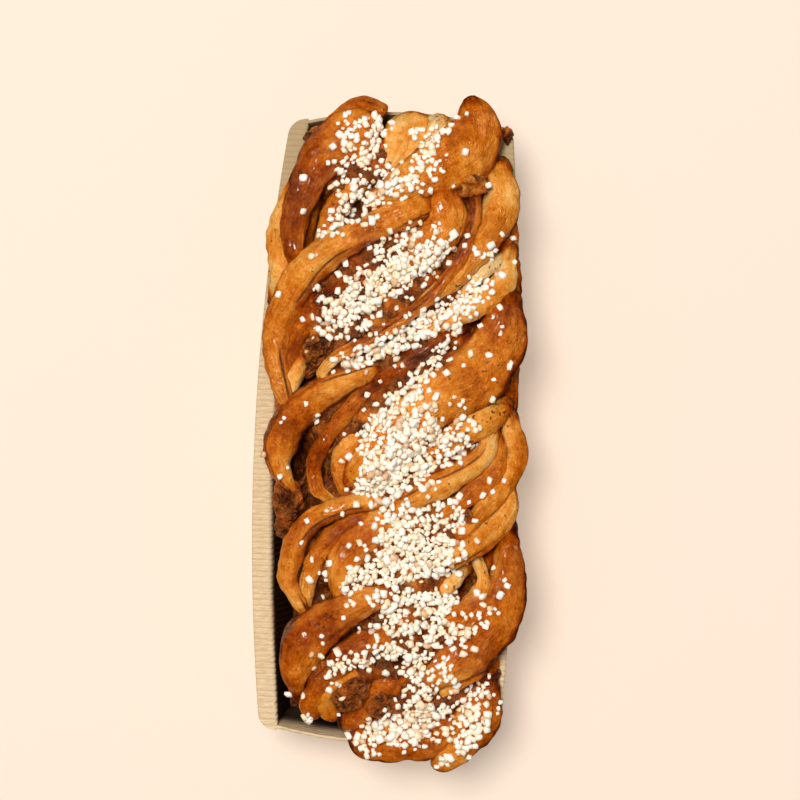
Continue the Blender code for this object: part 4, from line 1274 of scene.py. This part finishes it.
def kraft_colour_group():
    """Kraft paper: tan with fibres and grooves darkened by painted shade, dark brown where Grease and Shade
    is 1, which is grease and painted shade.
    """
    tree, given, result = node_group("Kraft colour", (
        ("Grease and Shade", "NodeSocketFloat", 0.0),
        ("Place", "NodeSocketVector", None),
        ("Lay", "NodeSocketVector", None),
    ), (("Color", "NodeSocketColor"), ("Roughness", "NodeSocketFloat")))
    place = given.outputs["Place"]
    fibre = noise(tree, stretched(tree, place, (300.0, 1800.0, 900.0)), 1.0, roughness=0.6, distortion=0.5)
    tan = ramp(tree, fibre, (0.3, 212, 181, 136), (0.5, 231, 200, 157), (0.7, 244, 219, 180))
    spot = tree.nodes.new("ShaderNodeSeparateXYZ")
    wire(tree, place, spot.inputs["Vector"])
    upper = span(tree, spot.outputs["Y"], -0.02, 0.12, 0.0, 0.8)
    tan = blend(tree, upper, tan, SHADED_PAPER_COLOUR)

    # Grease in clouds and painted shade deep inside the case turn its inside dark.
    cloud = noise(tree, place, 60.0)
    stain = span(tree, swayed(tree, given.outputs["Grease and Shade"], cloud, 0.5, 0.7), 0.05, 0.75)
    brown = ramp(tree, cloud, (0.35, 14, 7, 2), (0.65, 52, 28, 11))
    colour = blend(tree, stain, tan, brown)

    # A groove lies wherever the texture's length is a whole number of flutes, and painted shade darkens it.
    lay = tree.nodes.new("ShaderNodeSeparateXYZ")
    wire(tree, given.outputs["Lay"], lay.inputs["Vector"])
    turn = maths(tree, "MULTIPLY", lay.outputs["X"], 1.0 / (FLUTE * MM))
    near = maths(tree, "ABSOLUTE", maths(tree, "SUBTRACT", turn, maths(tree, "ROUND", turn)))
    groove = span(tree, near, 0.05, 0.2, 0.24, 0.0)
    wire(tree, blend(tree, groove, colour, GROOVE_SHADE_COLOUR), result.inputs["Color"])
    wire(tree, span(tree, stain, 0.0, 1.0, 0.85, 0.5), result.inputs["Roughness"])
    return tree


def new_material(name):
    """A material, its node tree and its shader."""
    material = bpy.data.materials.new(name)
    material.use_nodes = True
    return material, material.node_tree, material.node_tree.nodes["Principled BSDF"]


def use_group(tree, name, make, sources):
    """A node of a named group, made on its first use, with its inputs set or linked."""
    item = tree.nodes.new("ShaderNodeGroup")
    item.node_tree = bpy.data.node_groups.get(name) or make()
    for label, source in sources.items():
        feed(tree, source, item.inputs[label])
    return item


def attribute(tree, name):
    """A value that the mesh carries at its points."""
    item = tree.nodes.new("ShaderNodeAttribute")
    item.attribute_name = name
    return item.outputs["Fac"]


def add_bump(tree, shader, height, distance):
    """Shades the surface as if the height, times the distance, stood out of it."""
    item = tree.nodes.new("ShaderNodeBump")
    item.inputs["Distance"].default_value = distance
    item.inputs["Strength"].default_value = 1.0
    wire(tree, height, item.inputs["Height"])
    wire(tree, item.outputs["Normal"], shader.inputs["Normal"])


def crust_material(name, look, dust=0.0):
    """Glossy baked dough. Dust lays an even brown over it, as on the filling."""
    material, tree, shader = new_material(name)
    place = tree.nodes.new("ShaderNodeTexCoord")
    bake = attribute(tree, "bake")
    shared = {"Bake": bake, "Place": place.outputs["Object"], "Lay": place.outputs["UV"]}
    own = {"Soak": attribute(tree, "soak"), "Spots": attribute(tree, "spots"), "Dust": dust}
    colour = use_group(tree, "Crust colour", crust_colour_group, {**shared, **own})
    wire(tree, colour.outputs["Color"], shader.inputs["Base Color"])
    wire(tree, colour.outputs["Roughness"], shader.inputs["Roughness"])
    wire(tree, colour.outputs["Coat"], shader.inputs["Coat Weight"])
    shader.inputs["Coat Roughness"].default_value = 0.1
    shader.inputs["Specular IOR Level"].default_value = 0.7
    shader.inputs["Specular Tint"].default_value = GLOSS_TINT
    relief = use_group(tree, "Crust relief", crust_relief_group, shared)
    add_bump(tree, shader, relief.outputs["Height"], look.wrinkle_depth)
    return material


def sugar_material(name, syrup):
    """Pearl sugar, with a faint glow for the light that passes through its grains."""
    material, tree, shader = new_material(name)
    place = tree.nodes.new("ShaderNodeTexCoord")
    colour = use_group(tree, "Sugar colour", sugar_colour_group, {
        "Tint": attribute(tree, "cream_and_shade"), "Syrup": syrup, "Place": place.outputs["Object"]})
    wire(tree, colour.outputs["Color"], shader.inputs["Base Color"])
    wire(tree, colour.outputs["Roughness"], shader.inputs["Roughness"])
    wire(tree, colour.outputs["Color"], shader.inputs["Emission Color"])
    shader.inputs["Emission Strength"].default_value = 0.07
    return material


def kraft_material(name):
    """Matt kraft paper with fine fibres."""
    material, tree, shader = new_material(name)
    place = tree.nodes.new("ShaderNodeTexCoord")
    colour = use_group(tree, "Kraft colour", kraft_colour_group, {
        "Grease and Shade": attribute(tree, "stain"), "Place": place.outputs["Object"], "Lay": place.outputs["UV"]})
    wire(tree, colour.outputs["Color"], shader.inputs["Base Color"])
    wire(tree, colour.outputs["Roughness"], shader.inputs["Roughness"])
    fibre = noise(tree, stretched(tree, place.outputs["Object"], (500.0, 1500.0, 900.0)), 1.0)
    add_bump(tree, shader, fibre, 0.0003)
    return material


class LoafLook(PropertyGroup):
    """Fineness and relief of the dough and its filling."""
    cell_along: FloatProperty(
        name="Cell Along", description="Spacing of a fold's rings",
        default=0.0008, min=0.0003, unit="LENGTH")
    cell_around: FloatProperty(
        name="Cell Around", description="Spacing of the points in a ring",
        default=0.0011, min=0.0003, unit="LENGTH")
    lump_height: FloatProperty(
        name="Lump Height", description="How far the dough's soft lumps stand out",
        default=0.0005, min=0.0, unit="LENGTH")
    layer_depth: FloatProperty(
        name="Layer Depth", description="Depth of the groove along the edge of a layer",
        default=0.0008, min=0.0, unit="LENGTH")
    layer_width: FloatProperty(
        name="Layer Width", description="Half width of the groove along the edge of a layer",
        default=0.0007, min=0.0001, unit="LENGTH")
    core_rise: FloatProperty(
        name="Core Rise", description="How far the dough between the folds stands over the solid core's top",
        default=0.0022, unit="LENGTH")
    crease_height: FloatProperty(
        name="Crease Height", description="How deep the creases along a fold are",
        default=0.00012, min=0.0, unit="LENGTH")
    crease_stretch: FloatProperty(
        name="Crease Stretch", description="How many times longer than wide the creases are",
        default=3.5, min=1.0)
    wrinkle_depth: FloatProperty(
        name="Wrinkle Depth", description="Depth of the fine wrinkles in the shading",
        default=0.0009, min=0.0, unit="LENGTH")
    seed: IntProperty(name="Seed", description="Seed of the dough's relief", default=40, min=0)


class SugarLook(PropertyGroup):
    """How the pearl sugar is strewn."""
    area_each: FloatProperty(
        name="Area a Grain",
        description="Covered area of a drift that one grain stands for, in square metres",
        default=1.75e-6, min=1e-7, precision=8)
    smallest: FloatProperty(
        name="Smallest", description="Smallest radius of a grain",
        default=0.0009, min=0.0003, unit="LENGTH")
    largest: FloatProperty(
        name="Largest", description="Largest radius of a grain",
        default=0.0018, min=0.0003, unit="LENGTH")
    spacing: FloatProperty(
        name="Spacing", description="Least distance of two grains as a share of their radii together",
        default=0.64, min=0.1)
    soaked: FloatProperty(
        name="Soaked", description="Share of the grains that syrup has soaked",
        default=0.06, min=0.0, max=1.0)
    seed: IntProperty(name="Seed", description="Seed of the grains' places", default=7, min=0)


class CaseLook(PropertyGroup):
    """Fineness and relief of the paper."""
    cell: FloatProperty(
        name="Cell", description="Spacing of the points along the case",
        default=0.00042, min=0.0002, unit="LENGTH")
    groove_depth: FloatProperty(
        name="Groove Depth", description="Depth of the grooves between the flutes",
        default=0.00028, min=0.0, unit="LENGTH")


class StageLook(PropertyGroup):
    """Floor, light and camera."""
    floor_colour: FloatVectorProperty(
        name="Floor Colour", description="Colour of the floor", subtype="COLOR", size=3, min=0.0, max=1.0,
        default=linear(252, 232, 213)[:3])
    floor_glow: FloatProperty(
        name="Floor Glow", description="Share of the floor's brightness that shadows don't take away",
        default=0.32, min=0.0, max=1.0)
    key_power: FloatProperty(
        name="Key Light", description="Power of the soft light high at the upper left",
        default=52.0, min=0.0, unit="POWER")
    spot_power: FloatProperty(
        name="Small Light", description="Power of the smaller light that draws the crisp highlights",
        default=42.0, min=0.0, unit="POWER")
    sky_strength: FloatProperty(
        name="Sky Strength", description="Strength of the even light from all around",
        default=0.27, min=0.0)
    camera_height: FloatProperty(
        name="Camera Height", description="Height of the camera over the floor",
        default=1.0, min=0.2, unit="LENGTH")


class LOAF_OT_core(Operator):
    """Add the dough under the folds"""
    bl_idname = "loaf.core"
    bl_label = "Loaf Core"

    def execute(self, context):
        look = context.scene.loaf_look
        skin = core_skin(look.seed + CORE_SEED, look)
        add_piece("dough_core", skin, crust_material("baked dough, core", look), "loaf")
        return {"FINISHED"}


class LOAF_OT_folds(Operator):
    """Add the folds of twisted dough, in three pieces along the loaf"""
    bl_idname = "loaf.folds"
    bl_label = "Loaf Folds"

    def execute(self, context):
        look = context.scene.loaf_look
        material = crust_material("baked dough, folds", look)
        for part in ("upper", "middle", "lower"):
            skins = [fold_skin(fold, look.seed + SEED_STEP * number, look)
                     for number, fold in enumerate(FOLDS) if fold.part == part]
            if not skins:
                raise RuntimeError(f"no fold belongs to the part {part}")
            add_piece(f"folds_{part}", joined(skins), material, "loaf")
        return {"FINISHED"}


class LOAF_OT_filling(Operator):
    """Add the lumps of sticky filling"""
    bl_idname = "loaf.filling"
    bl_label = "Loaf Filling"

    def execute(self, context):
        look = context.scene.loaf_look
        skins = [lump_skin(lump, look.seed + FILLING_SEED + SEED_STEP * number)
                 for number, lump in enumerate(LUMPS)]
        material = crust_material("cinnamon filling", look, FILLING_DUST)
        add_piece("filling", joined(skins), material, "loaf")
        return {"FINISHED"}


class LOAF_OT_sugar(Operator):
    """Strew the pearl sugar over the loaf"""
    bl_idname = "loaf.sugar"
    bl_label = "Pearl Sugar"

    def execute(self, context):
        look = context.scene.sugar_look
        points = []
        faces = []
        for name in ("dough_core", "folds_upper", "folds_middle", "folds_lower", "filling"):
            item = bpy.data.objects.get(name)
            if item is None:
                raise RuntimeError(f"add the piece {name} before the sugar")
            flat = np.empty(3 * len(item.data.vertices), np.float32)
            item.data.vertices.foreach_get("co", flat)
            index = np.empty(len(item.data.loops), np.int32)
            item.data.loops.foreach_get("vertex_index", index)
            faces.append(index.reshape(-1, 3) + sum(len(part) for part in points))
            points.append(flat.reshape(-1, 3))
        tree = BVHTree.FromPolygons(
            np.concatenate(points).tolist(), np.concatenate(faces).tolist(), all_triangles=True)
        grains = grain_places(tree, look)
        soaked = np.random.default_rng(look.seed + 1).random(len(grains)) < look.soaked
        for number, (name, chosen, syrup) in enumerate((
            ("pearl_sugar", ~soaked, 0.0),
            ("soaked_sugar", soaked, 0.8),
        )):
            skin = grains_skin([grain for grain, use in zip(grains, chosen) if use], look.seed + 2 + number)
            material = sugar_material(name.replace("_", " "), syrup)
            add_piece(name, skin, material, "loaf", smooth=False)
        return {"FINISHED"}


class LOAF_OT_case(Operator):
    """Add the folded paper case"""
    bl_idname = "loaf.paper_case"
    bl_label = "Paper Case"

    def execute(self, context):
        look = context.scene.case_look
        material = kraft_material("kraft paper")
        ends = joined([end_skin(1.0, look), end_skin(-1.0, look)])
        add_piece("case_sides", case_skin(look), material, "paper_case")
        add_piece("case_ends", ends, material, "paper_case")
        return {"FINISHED"}


class LOAF_OT_stage(Operator):
    """Add the floor, the lights and the camera"""
    bl_idname = "loaf.stage"
    bl_label = "Stage"

    def floor(self, look):
        """A large plain sheet at the height of the case's underside, which highlights don't mirror."""
        far = FLOOR_HALF_SIZE
        mesh = bpy.data.meshes.new("floor")
        corners = [(-far, -far, 0.0), (far, -far, 0.0), (far, far, 0.0), (-far, far, 0.0)]
        mesh.from_pydata(corners, [], [(0, 1, 2, 3)])
        material, _, shader = new_material("pale floor")
        colour = np.array(look.floor_colour)
        shader.inputs["Base Color"].default_value = (*(colour * (1.0 - look.floor_glow)), 1.0)
        shader.inputs["Roughness"].default_value = 0.75
        shader.inputs["Emission Color"].default_value = (*colour, 1.0)
        shader.inputs["Emission Strength"].default_value = look.floor_glow
        mesh.materials.append(material)
        item = bpy.data.objects.new("floor", mesh)
        item.visible_glossy = False
        return item

    def lamp(self, name, size, power, place, highlights):
        """A square light aimed at the loaf, either for its highlights alone or for all but them."""
        light = bpy.data.lights.new(name, "AREA")
        light.size = size
        light.energy = power
        light.color = LAMP_COLOUR
        item = bpy.data.objects.new(name, light)
        item.location = place
        item.rotation_euler = (Vector(LAMP_AIM) - item.location).to_track_quat("-Z", "Y").to_euler()
        item.visible_glossy = highlights
        item.visible_diffuse = not highlights
        return item

    def sky(self, look):
        """Even light from all around, which highlights don't mirror."""
        world = bpy.data.worlds.new("soft sky")
        world.use_nodes = True
        background = world.node_tree.nodes["Background"]
        background.inputs["Color"].default_value = SKY_COLOUR
        background.inputs["Strength"].default_value = look.sky_strength
        world.cycles_visibility.glossy = False
        return world

    def camera(self, look):
        """A camera straight above, whose angle spans the view's width at the height of the rim."""
        eye = bpy.data.cameras.new("camera")
        eye.sensor_width = 36.0
        eye.angle = 2.0 * math.atan(VIEW_HALF_WIDTH / (look.camera_height - CASE_HEIGHT * MM))
        eye.clip_start = 0.05
        item = bpy.data.objects.new("camera", eye)
        item.location = (*CAMERA_PLACE, look.camera_height)
        item.rotation_euler = (0.0, 0.0, CAMERA_TURN)
        return item

    def execute(self, context):
        scene = context.scene
        look = scene.stage_look
        floor = self.floor(look)
        key = self.lamp("key", 0.7, look.key_power, (-0.38, 0.42, 2.4), False)
        small = self.lamp("small light", 0.25, look.spot_power, (-0.6, 0.7, 2.1), True)
        camera = self.camera(look)
        for item in (floor, key, small, camera):
            scene.collection.objects.link(item)
        scene.world = self.sky(look)
        scene.view_settings.view_transform = "Standard"
        scene.camera = camera
        return {"FINISHED"}


class LOAF_PT_panel(Panel):
    """Lists the loaf's pieces and their settings"""
    bl_label = "Cinnamon Loaf"
    bl_idname = "LOAF_PT_panel"
    bl_space_type = "VIEW_3D"
    bl_region_type = "UI"
    bl_category = "Loaf"

    def draw(self, context):
        scene = context.scene
        for look, operators in (
            (scene.loaf_look, (LOAF_OT_core, LOAF_OT_folds, LOAF_OT_filling)),
            (scene.sugar_look, (LOAF_OT_sugar,)),
            (scene.case_look, (LOAF_OT_case,)),
            (scene.stage_look, (LOAF_OT_stage,)),
        ):
            box = self.layout.box()
            for name in look.__annotations__:
                box.prop(look, name)
            for operator in operators:
                box.operator(operator.bl_idname)


CLASSES = (LoafLook, SugarLook, CaseLook, StageLook, LOAF_OT_core, LOAF_OT_folds, LOAF_OT_filling,
           LOAF_OT_sugar, LOAF_OT_case, LOAF_OT_stage, LOAF_PT_panel)


def register():
    """Makes the classes known, and gives each scene its settings."""
    for kind in CLASSES:
        bpy.utils.register_class(kind)
    bpy.types.Scene.loaf_look = PointerProperty(type=LoafLook)
    bpy.types.Scene.sugar_look = PointerProperty(type=SugarLook)
    bpy.types.Scene.case_look = PointerProperty(type=CaseLook)
    bpy.types.Scene.stage_look = PointerProperty(type=StageLook)


def unregister():
    """Takes back what register did, in the opposite order."""
    for name in ("loaf_look", "sugar_look", "case_look", "stage_look"):
        delattr(bpy.types.Scene, name)
    for kind in reversed(CLASSES):
        bpy.utils.unregister_class(kind)


def main():
    """Builds the loaf, its case and the stage."""
    register()
    bpy.ops.loaf.core()
    bpy.ops.loaf.folds()
    bpy.ops.loaf.filling()
    bpy.ops.loaf.sugar()
    bpy.ops.loaf.paper_case()
    bpy.ops.loaf.stage()


if __name__ == "__main__":
    main()
